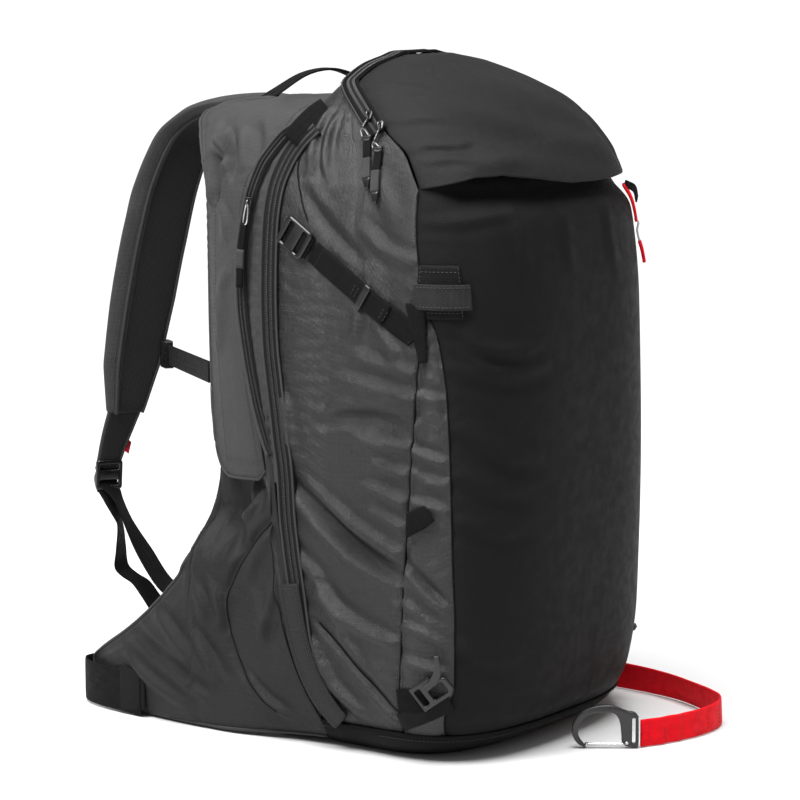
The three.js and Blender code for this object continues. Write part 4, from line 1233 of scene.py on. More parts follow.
# ---------------------------------------------------------------- seams of the main bag
def make_seams():
    rows = []
    # The front, side and base seams get dark cords sunk a little into them. These are partly piping and
    # partly painted shade, for the dark line of each seam's groove.
    for side, word in SIDES.items():
        for name, seam, top, count, radius in (("front", front_seam, 500, 110, 0.75),
                                               ("side", side_seam, 404, 90, 0.65)):
            heights = np.linspace(BASE_TOP, top, count)
            line, normals, _ = laid(on_side(seam(heights), heights, 0, side), span=0)
            tube(f"{word}_{name}_piping", line - normals * 0.2, radius, DARK_PIPING_AND_SEAM_SHADE)
        rows += [shifted(line, normals, across, 0.6) for across in (2.8, -2.8)]
    angles = np.linspace(0, 2 * math.pi, 241)[:-1]
    ring = bag_rim(angles, np.full(240, float(BASE_TOP)))
    tube("base_piping", ring + surface_normals(ring) * 0.5, 1.4, DARK_PIPING_AND_SEAM_SHADE, loop=True)
    ring = bag_rim(angles, np.full(240, BASE_TOP - 4.0))
    rows.append((ring + surface_normals(ring) * 1.8, surface_normals(ring)))
    stitches("seam_stitches", rows)
    # The panel and gusset seams are dark cords laid on the cloth. They are painted shade for the dark lines
    # of these seams.
    for side, word in SIDES.items():
        line, _, _ = laid_side(PANEL_SEAM, side, span=0)
        tube(f"{word}_panel_seam", line, 0.8, DARK_PIPING_AND_SEAM_SHADE)
        for k, seam in enumerate(GUSSET_SEAMS):
            line, _, _ = laid_side(seam, side, span=1)
            tube(f"{word}_gusset_seam_{k + 1}", line, 0.7, DARK_PIPING_AND_SEAM_SHADE)


PANEL_SEAM = [(20, 468), (31, 490), (37, 516), (30, 545), (22, 562)]
GUSSET_SEAMS = ([(6, 115), (-36, 77), (-64, 53), (-77, 41)], [(30, 107), (8, 66), (-19, 33)])


# ---------------------------------------------------------------- lid zip
LID_ZIP_FOOT = 549               # height where the closed part of the lid's zip ends
SLIDERS = [(-27, 557), (-42, 549.5)]
PULL_ENDS = [(-42, 498), (-53, 486)]
PULL_PIVOTS = [(-135.2, -24, 548.3), (-140.8, -40.1, 537.2)]


def lid_line(count):
    """Line of the lid's edge from its left slider over the top to the right, with normals."""
    y, z = lid_edge_line(80)
    keep = z >= LID_ZIP_FOOT
    side = on_side(y[keep], z[keep])
    line = over_the_top(side, count)
    normals = surface_normals(line)
    for _ in range(30):
        normals[1:-1] = unit(normals[:-2] + normals[1:-1] + normals[2:])
    return line, normals


def make_lid_zip():
    line, normals = lid_line(170)
    middle, _ = shifted(line, normals, 6.0)
    middle, normals, _ = laid(middle, 0, 0.3, span=4, normals=normals)
    tape("lid_zip_tape", middle, normals, 15, 1.2, TAPE, nodes=("lid_zip_chain",))
    zip_teeth("lid_zip_teeth", middle, normals, 1.4)
    for name, across, radius, material in (("lid_zip_rib_1", -5.6, 1.3, DARK_PIPING_AND_SEAM_SHADE),
                                           ("lid_zip_rib_2", 5.8, 1.3, DARK_PIPING_AND_SEAM_SHADE),
                                           ("lid_zip_edge", 7.8, 0.8, PIPING)):
        rib, _ = shifted(middle, normals, across, 1.1)
        tube(name, rib, radius, material)
    stitches("lid_zip_stitches", [shifted(middle, normals, 9.8, 0.5)])
    for k, ((y, z), end) in enumerate(zip(SLIDERS, PULL_ENDS)):
        make_lid_slider(k + 1, y, z, end)


def slider_parts(name, place, size):
    """Zip slider: two plates held apart by a post, and a bridge for the pull."""
    front = [(-size, -size * 0.5), (-size * 0.3, -size * 0.75), (size * 0.7, -size * 0.55),
             (size, 0), (size * 0.7, size * 0.55), (-size * 0.3, size * 0.75), (-size, size * 0.5)]
    plate(f"{name}_slider", front, [], 1.8, 0.7, place @ Matrix.Translation((0, 0, 0.0026)), PLASTIC)
    arch = [(-size * 0.6, 0, 3.0), (-size * 0.3, 0, 6.2), (size * 0.3, 0, 6.6), (size * 0.75, 0, 3.0)]
    tube(f"{name}_bridge", smooth_line(placed(place, arch), 12), 1.0, DARK_METAL)


def wire_loop(name, top, low, half, normal, radius, material, body):
    """Thin wire bail from a slider down to a pull."""
    shape = [top, mix(top, low, 0.25) + half * 0.7, mix(top, low, 0.8) + half, low + half * 0.6,
             low - half * 0.6, mix(top, low, 0.8) - half, mix(top, low, 0.25) - half * 0.7, top]
    line = smooth_line(np.array(shape) + normal * 2.4, 44)
    tube(name, line, radius, material, body)


def make_lid_slider(k, y, z, end):
    """Slider k of the lid's zip at (y, z), and its pull that hangs down to `end`."""
    name, body = f"lid_zip_{k}", f"zip_pull_{k}"
    slider_parts(name, side_frame(y, z, 2.0, (-0.35, -0.93)), 5.0)
    run = on_side(np.linspace(y - 2, end[0], 30), np.linspace(z - 6, end[1], 30))
    line, normals, across = laid(run, 4, 0.9, span=4)
    web, sleeve, tip = slice(7, 24), slice(15, 25), slice(24, None)
    pivot = np.array(PULL_PIVOTS[k - 1])
    wire_loop(f"{name}_wire", pivot - normals[0] * 1.0, line[7], across[6] * 3.1, normals[3], 0.75,
              DARK_METAL, body)
    nose = np.array([on_side(y, z - 2, 4.2), pivot + normals[0] * 1.0])
    tube(f"{name}_nose", even(nose, 6), 1.1, DARK_METAL)
    tape(f"{name}_pull_web", line[web], normals[web], 7.6, 2.4, WEB_BLACK, body,
         nodes=(f"lid_zip_pull_{k}",))
    tape(f"{name}_pull_sleeve", line[sleeve], normals[sleeve], 8.4, 3.0, GREY_TAPE, body)
    taper = np.linspace(1.0, 0.45, len(line[tip]))[:, None]
    end_cap = sweep(f"{name}_pull_tip", line[tip] + normals[tip] * 1.4, across[tip] * 4.2 * taper,
                    flat_outline(3.0), PLASTIC, normals[tip])
    finished(end_cap, body)
    bar_points = np.array([line[6] - across[6] * 4.4, line[6] + across[6] * 4.4]) + normals[6] * 2.2
    tube(f"{name}_pull_bar", even(bar_points, 5), 2.0, PLASTIC, body)


# ---------------------------------------------------------------- back unit and its zips
UNIT_BACK, UNIT_TOP = 122, 545
unit_shoulder = profile([(6, 137), (440, 137), (490, 121), (516, 107), (545, 90)])
UNIT_FOLDS = [                   # ((y, z) line, width, height, lean) on the back unit's side
    ([(84, 233), (76, 216), (78, 198)], 6, 3.0, 0.6),
    ([(72, 190), (86, 150), (97, 114)], 7, 2.6, 0.5),
    ([(96, 300), (90, 270), (96, 240)], 7, 2.2, 0.5),
    ([(70, 380), (78, 340), (72, 300)], 7, 2.0, 0.5),
]


def unit_ring(z, count):
    """Line round the back unit at height z, from the bag's left rear edge to the right one."""
    half = float(half_width(z)) - 1.2
    shoulder = float(unit_shoulder(z))
    start = float(back_y(z)) - 8.0
    depth = UNIT_BACK - start
    left = [(-half, start), (-half + 0.6, start + 7), (-min(half - 5, shoulder + 14), start + 0.3 * depth),
            (-shoulder, start + 0.52 * depth), (-shoulder + 7, start + 0.82 * depth),
            (-shoulder + 15, UNIT_BACK), (-shoulder + 40, UNIT_BACK + 0.6)]
    ring = smooth_line(left + [(-x, y) for x, y in left[::-1]], count)
    return np.column_stack([ring, np.full(count, float(z))])


def make_back_unit():
    base = np.array([unit_ring(z, 120) for z in np.linspace(6, UNIT_TOP, 110)])
    y, z = base[..., 1], base[..., 2]
    folds = creases(y, z, UNIT_FOLDS) * ease(100, 130, np.abs(base[..., 0]))
    low = ease(330, 60, z)
    finish_panel("back_unit_cloth", base, [GREY_HIP, LINING], (None, 0.8, 0.6, 0.6),
                 spare=(0.010 + 0.012 * low, 0.006), folds=folds, seed=41, cap=3.5, reach=3,
                 nodes=("back_unit_shell",), away_from=(0, 60, 300))
    for name, row, z, up in (("back_unit_top", base[-1], UNIT_TOP + 0.5, 1),
                             ("back_unit_floor", base[0], 5.5, -1)):
        grid = np.array([mix(row, row.mean(axis=0), t) for t in (0, 0.03, 0.2, 0.5, 0.8, 0.97)])
        grid[..., 2] = z + 1.2 * np.sin(np.linspace(0, math.pi, 6))[:, None] * up
        panel = fabric_panel(name, grid, BLACK_SHELL, away_from=(0, 90, 300))
        finished(panel)


SPLIT_ZIP = [(26, 547), (43, 530), (55, 504), (59, 479), (60, 448), (59, 396), (56, 352), (49, 308),
             (44, 273), (40, 247), (37, 203), (32, 168), (28, 140), (22, 100), (12, 66), (0, 42), (-10, 28)]
GARAGE = [(36, 147), (32, 125), (27, 100), (19, 74), (8, 52), (-6, 34), (-14, 26)]


def flank(line, count, lift, side=-1):
    """Line on the bag's flat flank, just in front of or beside the back unit."""
    flat = smooth_line(line, count)
    x = half_width(flat[:, 1]) + lift
    points = np.column_stack([side * x, flat[:, 0], flat[:, 1]])
    slope = np.gradient(half_width(flat[:, 1])) / np.gradient(flat[:, 1])
    return points, unit(np.column_stack([np.full(count, float(side)), 0 * x, -slope]))


def zip_teeth(name, line, normals, lift, half=2.2):
    """The two rows of a zip's coil, with the dark line where they meet."""
    rows = [shifted(line, normals, side * (half + 0.25), lift) for side in SIDES]
    bead_rows(name, rows, COIL, 2 * half, 0.62, 1.5, crosswise=True)


def make_split_zip(side):
    word = SIDES[side]
    line, normals = flank(SPLIT_ZIP, 130, 0.6, side)
    heights = level(heights_over(TREES, line, normals), 3)
    line = line + normals * np.maximum(heights, 0)[:, None]
    tape(f"{word}_split_tape", line, normals, 17, 1.2, TAPE,
         nodes=(f"{word}_split_zip",))
    tape(f"{word}_split_backing", line - normals * 4.6, normals, 18, 4.8, TAPE)
    zip_teeth(f"{word}_split_teeth", line, normals, 1.3)
    for k, across in enumerate((-8.2, 8.2)):
        rib, _ = shifted(line, normals, across, 1.0)
        tube(f"{word}_split_rib_{k + 1}", rib, 1.1, GREY_STRAP)
    make_zip_garage(word, side)


def make_zip_garage(word, side):
    """Stitched cover over the lower end of the split zip."""
    garage, normals = flank(GARAGE, 60, 2.8, side)
    heights = level(heights_over(TREES, garage, normals), 5)
    garage = garage + normals * np.maximum(heights, 0)[:, None]
    half = across_of(garage, normals) * 11.5
    outline = np.array([(-1, 0), (-0.97, 1.2), (-0.8, 1.9), (-0.3, 2.6), (0.3, 2.6), (0.8, 1.9), (0.97, 1.2),
                        (1, 0), (0.9, -1.5), (0, -1.5), (-0.9, -1.5)])
    band = sweep(f"{word}_zip_garage", garage, half, outline, GREY_HIP, normals, levels=1)
    finished(band)
    rows = [shifted(garage, normals, a, b) for a, b in ((-9.6, 2.0), (9.6, 2.0), (-7.4, 2.4), (7.4, 2.4))]
    ends = [np.array([garage[k] - half[k] * 0.85, garage[k] + half[k] * 0.85]) + normals[k] * 2.4
            for k in (2, 18)]
    rows += [(even(e, 9), np.repeat(normals[[k]], 9, 0)) for e, k in zip(ends, (2, 18))]
    stitches(f"{word}_garage_stitches", rows)


# ---------------------------------------------------------------- yoke, left strap and burst zip
STRAP_MIDDLE = (0, 110, 300)      # a point that the straps and the yoke face away from
LEFT_STRAP = [((-157, 67, 235), (-139, 138, 231)), ((-157, 74, 276), (-138, 141, 274)),
              ((-157, 82, 318), (-137, 143, 316)), ((-156, 90, 372), (-136, 145, 370)),
              ((-155, 92, 440), (-133, 148, 436)),
              ((-150, 87, 490), (-127, 154, 484)), ((-141, 74, 516), (-118, 166, 512)),
              ((-128, 58, 538), (-106, 178, 534))]
YOKE_SPAN = [((-112, 50, 555), (-96, 184, 547)), ((-84, 47, 560), (-76, 188, 553)),
             ((-40, 46, 564), (-40, 188, 556)), ((0, 46, 565), (0, 188, 557)),
             ((50, 46, 563), (50, 188, 555)), ((92, 47, 560), (92, 188, 551)),
             ((114, 50, 555), (114, 185, 546)), ((120, 56, 546), (120, 180, 538))]
SHOULDER_FOLDS = [               # ((y, z) line, width, height, lean) on the top of the left strap
    ([(126, 536), (114, 518), (107, 494)], 4, -5.0, 0.2),
    ([(138, 536), (126, 518), (116, 500)], 6, 4.4, 0.0),
    ([(147, 516), (134, 511), (117, 515)], 3.6, -4.4, 0.2),
    ([(148, 524), (134, 522), (120, 528)], 6, 3.4, 0.0),
    ([(134, 508), (128, 493), (127, 474)], 3.4, -4.4, 0.3),
    ([(144, 506), (138, 488), (138, 470)], 5, 3.4, 0.0),
    ([(150, 545), (140, 532), (132, 526)], 6, 2.6, 0.5),
    ([(112, 540), (100, 524), (92, 504)], 7, 2.6, 0.5),
    ([(96, 545), (84, 528), (80, 512)], 6, -2.2, 0.5),
    ([(120, 480), (112, 462), (110, 440)], 7, 1.8, 0.5),
    ([(105, 420), (116, 400), (112, 372)], 8, 1.4, 0.5),
    ([(128, 400), (120, 370), (124, 340)], 8, 1.4, 0.5),
]
YOKE_PUCKERS = [                 # ((x, y) line, width, height, lean) on top of the yoke
    ([(-62, 120), (-58, 138), (-60, 158)], 3.4, 2.6, 0.6),
    ([(-70, 122), (-68, 140), (-71, 156)], 3.0, 2.2, 0.6),
    ([(-54, 116), (-48, 138), (-50, 160)], 3.4, 2.2, 0.6),
    ([(-100, 90), (-70, 104), (-30, 100)], 9, 2.2, 0.5),
    ([(-96, 160), (-60, 172), (-10, 168)], 9, 1.8, 0.5),
    ([(20, 80), (60, 96), (96, 88)], 9, 2.0, 0.5),
]


def spans(pairs, rows, columns):
    """Grid between two smooth edges given as (front, back) pairs of points."""
    front, back = (smooth_line([pair[k] for pair in pairs], rows) for k in (0, 1))
    return mix(front[:, None], back[:, None], np.linspace(0, 1, columns)[None, :, None])


def make_shoulder():
    """One cloth up the left strap, over the shoulder and across the yoke."""
    rows, columns = 150, 34
    base = spans(LEFT_STRAP + YOKE_SPAN, rows, columns)
    n = facing(base, STRAP_MIDDLE)
    s = np.linspace(0, 1, columns)
    low = ease(306, 236, base[..., 2]) * (base[..., 0] < -130)
    corners = 30 * np.clip((s - 0.55) / 0.45, 0, 1) ** 2.6 + 9 * np.clip(1 - s / 0.13, 0, 1) ** 2
    base[..., 2] += low * corners
    crown = np.sin(math.pi * s) ** 0.55
    up = np.linspace(0, 1, rows)
    swell = 5.0 + 5.0 * np.exp(-((up - 0.55) / 0.12) ** 2)
    y, z, x = base[..., 1], base[..., 2], base[..., 0]
    folds = creases(y, z, SHOULDER_FOLDS) * ease(-90, -112, x)
    folds = folds + creases(x, y, YOKE_PUCKERS) * ease(545, 552, z)
    base = base + n * (crown * swell[:, None])[..., None]
    rim = 4
    wrap_front = np.array([base[:, 0] - n[:, 0] * 13 * t for t in np.linspace(1, 0.12, rim)])
    wrap_back = np.array([base[:, -1] - n[:, -1] * 11 * t for t in np.linspace(0.12, 1, rim)])
    grid = np.concatenate([wrap_front.transpose(1, 0, 2), base, wrap_back.transpose(1, 0, 2)], 1)
    folds = np.pad(folds, ((0, 0), (rim, rim)))
    spare = 0.012 + 0.02 * np.exp(-((up - 0.5) / 0.16) ** 2)[:, None]
    made = finish_panel("shoulder_cloth", grid, [GREY_STRAP, FOAM], (0.6, None, None, None),
                        spare=(spare, 0.008), folds=folds, seed=51, cap=5, reach=3, thick=1.8,
                        nodes=("left_strap_cover", "yoke_panel"), away_from=STRAP_MIDDLE)
    return made[:, rim:-rim], n


def make_shoulder_trim(grid, n):
    front, back = grid[:, 0], grid[:, -1]
    tube("left_strap_front_piping", front + n[:, 0] * 0.4, 1.3, DARK_PIPING_AND_SEAM_SHADE)
    tube("left_strap_back_piping", back + n[:, -1] * 0.4, 1.5, GREY_STRAP)
    tube("left_strap_end_piping", grid[0] + n[0] * 0.2, 1.3, PIPING)
    tube("left_strap_corner_piping", grid[:22, -1] + n[:22, -1] * 0.8, 1.4, THREAD)
    made_n = facing(grid, STRAP_MIDDLE)
    whole, lower = slice(None), slice(0, 72)
    rows = [(grid[row] + made_n[row] * 0.7, made_n[row])
            for row in ((whole, 3), (whole, -4), (lower, 22), (4, whole))]
    stitches("left_strap_stitches", rows)
    tacks = [(even(np.array([(x, 124, top), (x, back, top - 2)]), 20), np.tile([0, 0, 1.0], (20, 1)))
             for x, back, top in ((-74, 152, 570), (-70, 152, 570), (-66, 152, 570), (84, 146, 568),
                                  (88, 146, 568))]
    stitches("yoke_bar_tacks", [(on_piece("shoulder_cloth", *tack), tack[1]) for tack in tacks], lift=0.3)


def make_shoulder_foam():
    """Foam inside the left strap, and the lining under the yoke."""
    pad = spans(LEFT_STRAP, 70, 16)[:, 1:-1]
    inner = pad - facing(pad, STRAP_MIDDLE) * 12.4
    crown = 2.2 * np.sin(math.pi * np.linspace(0, 1, inner.shape[1])) ** 0.6
    normals = facing(inner, STRAP_MIDDLE)
    foam = fabric_panel("left_shoulder_foam", inner - normals * crown[:, None], FOAM, thick=4.5,
                        away_from=STRAP_MIDDLE)
    finished(foam, nodes=("left_shoulder_pad",))
    under = spans(YOKE_SPAN, 60, 20) - np.array([0, 0, 8.5])
    yoke = fabric_panel("yoke_lining", under, FOAM, thick=4, away_from=STRAP_MIDDLE)
    finished(yoke)


def make_strap_gusset():
    """Dark cloth between the split zip and the front edge of the left strap."""
    heights = np.linspace(236, 540, 80)
    stations = np.array([pair[0] for pair in LEFT_STRAP], float)
    split_line = smooth_line(SPLIT_ZIP, 120)[::-1]
    rows = []
    for z in heights:
        split = np.interp(z, split_line[:, 1], split_line[:, 0])
        start = np.array([-half_width(z) + 0.4, min(split + 5, back_y(z) + 2), z])
        x, y = (np.interp(z, stations[:, 2], stations[:, k]) for k in (0, 1))
        end = np.array([min(x + 4, -120), y + 6, z])
        chord = mix(start, end, np.linspace(0, 1, 18)[:, None])
        rows.append(chord - np.sin(math.pi * np.linspace(0, 1, 18))[:, None] * np.array([2.5, 0, 0]))
    base = np.array(rows)
    finish_panel("strap_gusset_cloth", base, [GREY_STRAP, LINING], (None, None, None, None),
                 spare=(0.05, 0.02), seed=91, cap=3.5, reach=2, away_from=(0, 80, 300))


BURST_ZIP = [(46, 547), (60, 538), (74, 514), (82, 486), (88, 447), (89, 394), (83, 351), (73, 307),
             (62, 272), (56, 259)]


def make_burst_zip():
    flat = smooth_line(BURST_ZIP, 110)
    x = np.interp(flat[:, 1], [257, 300, 440, 490, 516, 547], [-161, -162, -161, -156, -149, -132])
    line = np.column_stack([x, flat])
    normals = unit(np.tile([-1.0, -0.4, 0.0], (110, 1)))
    normals[-20:] = unit(normals[-20:] + [0, 0, 0.5])
    tape("burst_zip_tape", line, normals, 10, 1.0, TAPE, nodes=("burst_zip_chain",))
    zip_teeth("burst_zip_teeth", line, normals, 1.1, half=1.4)
    rib, _ = shifted(line, normals, -4.6, 1.0)
    tube("burst_zip_rib", rib, 1.5, GREY_STRAP)
    end = even(np.array([line[0] + [0, -7, -1], line[0] + [0, 7, -1]]), 8)
    tape("burst_zip_stop", end + normals[0] * 1.2, np.tile(normals[0], (8, 1)), 4.5, 1.6, PIPING)
    make_burst_pull(line, normals)
    top_tab = smooth_line([(-118, 26, 563), (-128, 33, 555), (-136, 41, 544), (-140, 49, 533)], 14)
    tab_normals = np.tile(unit(np.array([-1, -0.5, 0.5])), (14, 1))
    tape("burst_zip_top_tab", top_tab + tab_normals * 3.5, tab_normals, 19, 2.4, WEB_BLACK)


def make_burst_pull(line, normals):
    """Slider of the burst zip, with its wire and its webbing pull."""
    at = int(np.argmin(np.abs(line[:, 2] - 482)))
    place = frame_at(line[at] + normals[at] * 2, (0, 0.1, -1), np.cross(normals[at], (0, 0.1, -1)))
    slider_parts("burst_zip", place, 4.6)
    top = line[at] + normals[at] * 5
    low = top + np.array([-1.5, 2, -19])
    wire_loop("burst_zip_wire", top, low, np.array([1.0, 2.8, 0]), normals[at], 0.75, STEEL, "root")
    run = even(np.array([low + [-1, 0, 1], low + [-3, 3.5, -26], low + [-3, 4.5, -56]]), 18)
    run_normals = np.tile(unit(np.array([-1.0, -0.3, 0])), (18, 1))
    sleeve, sleeve_normals = run[7:13], run_normals[7:13]
    tape("burst_zip_pull", run, run_normals, 6.2, 2.2, WEB_BLACK)
    tape("burst_zip_pull_sleeve", sleeve - sleeve_normals * 0.4, sleeve_normals, 7.0, 3.0, GREY_TAPE)


def make_haul_loop():
    loop = smooth_line([(-64, 138, 563), (-46, 136, 571), (-12, 132, 584), (24, 130, 587), (58, 131, 580),
                        (76, 132, 571), (84, 134, 563)], 60)
    half = np.tile([0, 9.0, 0], (60, 1))
    half = half * (1 - 0.42 * np.sin(np.linspace(0, math.pi, 60))[:, None] ** 0.7)
    out = unit(np.cross(np.gradient(loop, axis=0), half))
    skin = sweep("haul_loop_web", loop, half, flat_outline(2.4), WEB_BLACK, out)
    finished(skin, nodes=("haul_loop",))


# ---------------------------------------------------------------- right shoulder strap
RIGHT_STRAP = [((76, 187, 548), (32, 0, 0)), ((73, 240, 552), (31, -3, 0)), ((68, 290, 545), (30, -9, 0)),
               ((62, 328, 520), (28, -14, 0)), ((57, 352, 472), (26, -18, 0)),
               ((54, 369, 412), (26, -19, 0)), ((52, 383, 350), (25, -19, 0)),
               ((50, 396, 286), (22, -17, 0)), ((49, 405, 236), (14, -11, 0))]
# Section of the pad, (share across, millimetres out): mesh towards the wearer, cloth outside
STRAP_SECTION = [(1.0, -1.5), (0.97, 1.6), (0.8, 3.4), (0.4, 5.6), (-0.1, 6.6), (-0.6, 6.4), (-0.92, 4.4),
                 (-1.04, 1.0), (-0.98, -2.2), (-0.8, -4.2), (-0.62, -5.0), (-0.5, -5.4), (-0.4, -4.9),
                 (-0.1, -4.6), (0.4, -4.6), (0.8, -4.3), (0.96, -3.6)]
MESH_COLUMNS = range(12, 16)


def make_right_strap():
    count = 110
    places, halves = (np.array([pair[k] for pair in RIGHT_STRAP], float) for k in (0, 1))
    middle = smooth_line(places, count)
    stations = along(places)
    half = sampled(np.linspace(0, stations[-1], count), stations, halves)
    way = unit(np.gradient(middle, axis=0))
    out = unit(np.cross(way, half))
    out = out if (out @ np.array([0.5, 1, 0.3])).sum() > 0 else -out
    columns = len(STRAP_SECTION)
    outline = np.tile(np.array(STRAP_SECTION), (count, 1, 1))
    swell = np.sin(np.linspace(0, math.pi, count))[:, None]
    wrinkle = noise_field((count, columns), 2, 61) * 2.6 * swell
    outline[:, 1:10, 1] += wrinkle[:, 1:10]
    ends = np.minimum(1, np.minimum(np.arange(count), np.arange(count)[::-1]) / 3 + 0.45)
    outline[..., 1] *= ends[:, None]
    pad = sweep("right_strap_pad", middle, half, outline, [GREY_STRAP, FOAM], out, levels=1)
    for polygon in pad.data.polygons:
        if min(polygon.vertices) % columns in MESH_COLUMNS and len(polygon.vertices) == 4:
            polygon.material_index = 1
    finished(pad, nodes=("right_shoulder_pad",))
    for name, share, lift in (("right_strap_binding_1", -0.5, -5.4), ("right_strap_binding_2", 1.0, -1.6)):
        tube(name, middle + half * share + out * lift * ends[:, None], 1.9, PIPING)
    edge = middle + half * -0.66 + out * (-5.4 * ends)[:, None]
    stitches("right_strap_stitches", [(edge, -out)])


def make_strap_stub():
    """Tapered lower end of the right strap with its bindings, and the red tab beside it."""
    stub = smooth_line([(50, 398, 262), (50, 404, 242), (50.4, 412, 224), (50.6, 420, 205),
                        (50.8, 427, 186), (51, 431, 177)], 40)
    taper = unit(np.array([8, -6, 0.0])) * np.interp(np.arange(40), [0, 20, 39], [16.5, 13.5, 9.6])[:, None]
    web_strip("right_strap_stub", stub, taper, FOAM, (0, 1, 0.2), thick=4.6)
    for k, edge in enumerate((-1, 1)):
        tube(f"right_stub_binding_{k + 1}", stub + taper * edge, 2.3, PIPING)
    red = [(59, 415.2, 203), (61.4, 413.2, 200.5), (64, 411.2, 198)]
    web_strip("right_strap_red_tab", smooth_line(red, 8), (1.2, -1.0, 6), WEB_DARK_RED, (0.5, 0.5, 0))


def web_strip(name, line, half, material, toward, nodes=(), thick=WEB_THICK,
              body="root"):
    """Free webbing along a line, with its half width given as a vector."""
    half = np.broadcast_to(np.asarray(half, float), np.shape(line))
    out = unit(np.cross(np.gradient(np.asarray(line, float), axis=0), half))
    sign = np.sign((out @ np.asarray(toward, float)).sum())
    return finished(sweep(name, line, half, flat_outline(thick), material, out * sign), body, nodes)


LOCK = (51, 428, 171)
LOWER_WEB = [(53, 420, 150), (56, 406, 121), (61, 391, 94), (68, 369, 62), (76, 345, 54), (92, 276, 51.5),
             (104, 206, 43), (110, 144, 30)]


def make_ladder_lock():
    place = frame_at(LOCK, (8, -6, 0), (0.02, -0.25, 1))
    holes = [rounded(-9.5, 9.5, -11, -5.5, 1.6), rounded(-9.5, 9.5, 5.5, 11, 1.6)]
    plate("right_lock_body", rounded(-13.5, 13.5, -16, 16, 4), holes, 4.5, 1.3, place, PLASTIC,
          nodes=("right_ladder_lock",))
    web_half = np.array([8, -6, 0.0])
    lower = smooth_line([(51.5, 431, 166), (52.4, 428, 158)] + LOWER_WEB, 70)
    twist = np.linspace(0, 1, 70)[:, None]
    half = mix(web_half, np.array([9.4, 3.4, 0.6]), ease(0.0, 0.08, twist))
    half = mix(half, np.array([9.0, -0.8, 4.0]), ease(0.1, 0.26, twist))
    web_strip("right_lower_web", lower, half, WEB_BLACK, (0, 1, 1), nodes=("right_lower_webbing",))
    over = smooth_line([(51.6, 431, 153), (51.4, 434, 160), (51, 434.5, 168), (50.8, 431.5, 176)], 16)
    web_strip("right_lock_wrap", over, web_half, WEB_BLACK, (0, 1, 0.2), thick=1.4)


TAIL_HALF = 10
TAIL = [(51.6, 431.5, 156), (51.5, 424, 144), (51.5, 415, 122), (52.5, 415, 98), (53.5, 415.5, 79),
        (57, 408, 70), (61, 397, 63), (65, 388, 50), (69, 380, 36)]


def make_tail():
    line = smooth_line(TAIL, 60)
    turn = np.radians(np.interp(np.arange(60), [0, 15, 30, 45, 59], [-37, 28, 6, -25, -30]))
    half = TAIL_HALF * np.stack([np.cos(turn), np.sin(turn), 0 * turn], -1)
    tail = web_strip("right_tail_web", line, half, WEB_BLACK, (0, 1, 0.2), nodes=("right_strap_tail",))
    hem = web_strip("right_tail_hem", line[-8:] + np.array([0, 1.2, 1.4]), half[-8:], WEB_BLACK, (0, 1, 0.2))
    float(along(line)[-1]) * MM


# ---------------------------------------------------------------- sternum strap
STERNUM_LEFT, STERNUM_RIGHT = np.array([-135.5, 147.5, 322]), np.array([69, 370, 297.0])


def make_sternum():
    way = unit(STERNUM_LEFT - STERNUM_RIGHT)
    length = np.linalg.norm(STERNUM_LEFT - STERNUM_RIGHT)
    line = STERNUM_RIGHT + way * np.linspace(42, length, 40)[:, None]
    web_strip("sternum_web", line, (0, 0, 10), WEB_BLACK, (0.74, -0.67, 0), nodes=("sternum_webbing",),
              body=None)
    web = bpy.data.objects["sternum_web"]
    apply_modifiers(web)
    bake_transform(web)


# ---------------------------------------------------------------- hip fins
fin_top = profile([(20, 262), (58, 262), (102, 258), (111, 238), (122, 238), (130, 257), (139, 258),
                   (143, 246), (145, 222), (148, 186), (157, 149), (180, 121), (207, 96), (238, 73),
                   (270, 53), (286, 42)])
fin_bottom = profile([(0, 8), (101, 5), (174, 2), (234, 1), (270, 2), (286, 8)])
fin_x = profile([(101, 151), (150, 151), (200, 147), (250, 139), (286, 129)])
fin_front = profile([(5, 6), (22, 12), (58, 32), (98, 47), (129, 54), (236, 60)])
FIN_THICK = 11
RIM_LOWEST = 4.2                 # the fin's binding stays this far above the ground
HIP_SEAM = [(45, 211), (70, 186), (92, 160), (107, 129), (109, 116), (105, 92), (90, 58), (71, 37), (55, 26)]
HIP_FOLDS = [                    # ((y, z) line, width, height, lean) on the hip fin
    (HIP_SEAM[:4], 4.0, -4.0, 0.3),
    (HIP_SEAM[3:], 3.4, -2.2, 0.4),
    ([(69, 232), (76, 214), (92, 192), (106, 172), (112, 160)], 4.5, 4.6, 0.2),
    ([(80, 226), (88, 206), (102, 188)], 4, -3.0, 0.2),
    ([(58, 190), (76, 160), (88, 130)], 8, 3.0, 0.2),
    ([(50, 150), (58, 120), (66, 90)], 6, 2.6, 0.4),
    ([(149, 100), (126, 68), (112, 46)], 7, 3.0, 0.6),
    ([(122, 140), (112, 112), (113, 92)], 6, 2.6, 0.5),
    ([(190, 106), (155, 78), (127, 50)], 8, 3.0, 0.6),
    ([(186, 66), (161, 50), (128, 30)], 7, 2.6, 0.6),
    ([(214, 84), (176, 62), (140, 44)], 7, -2.4, 0.5),
    ([(230, 62), (196, 40), (150, 22)], 7, 2.2, 0.6),
    ([(150, 150), (132, 120), (128, 96)], 7, 2.2, 0.5),
    ([(90, 60), (70, 40), (40, 24)], 6, 2.2, 0.5),
    ([(74, 140), (66, 110), (60, 84)], 7, 2.4, 0.5),
]


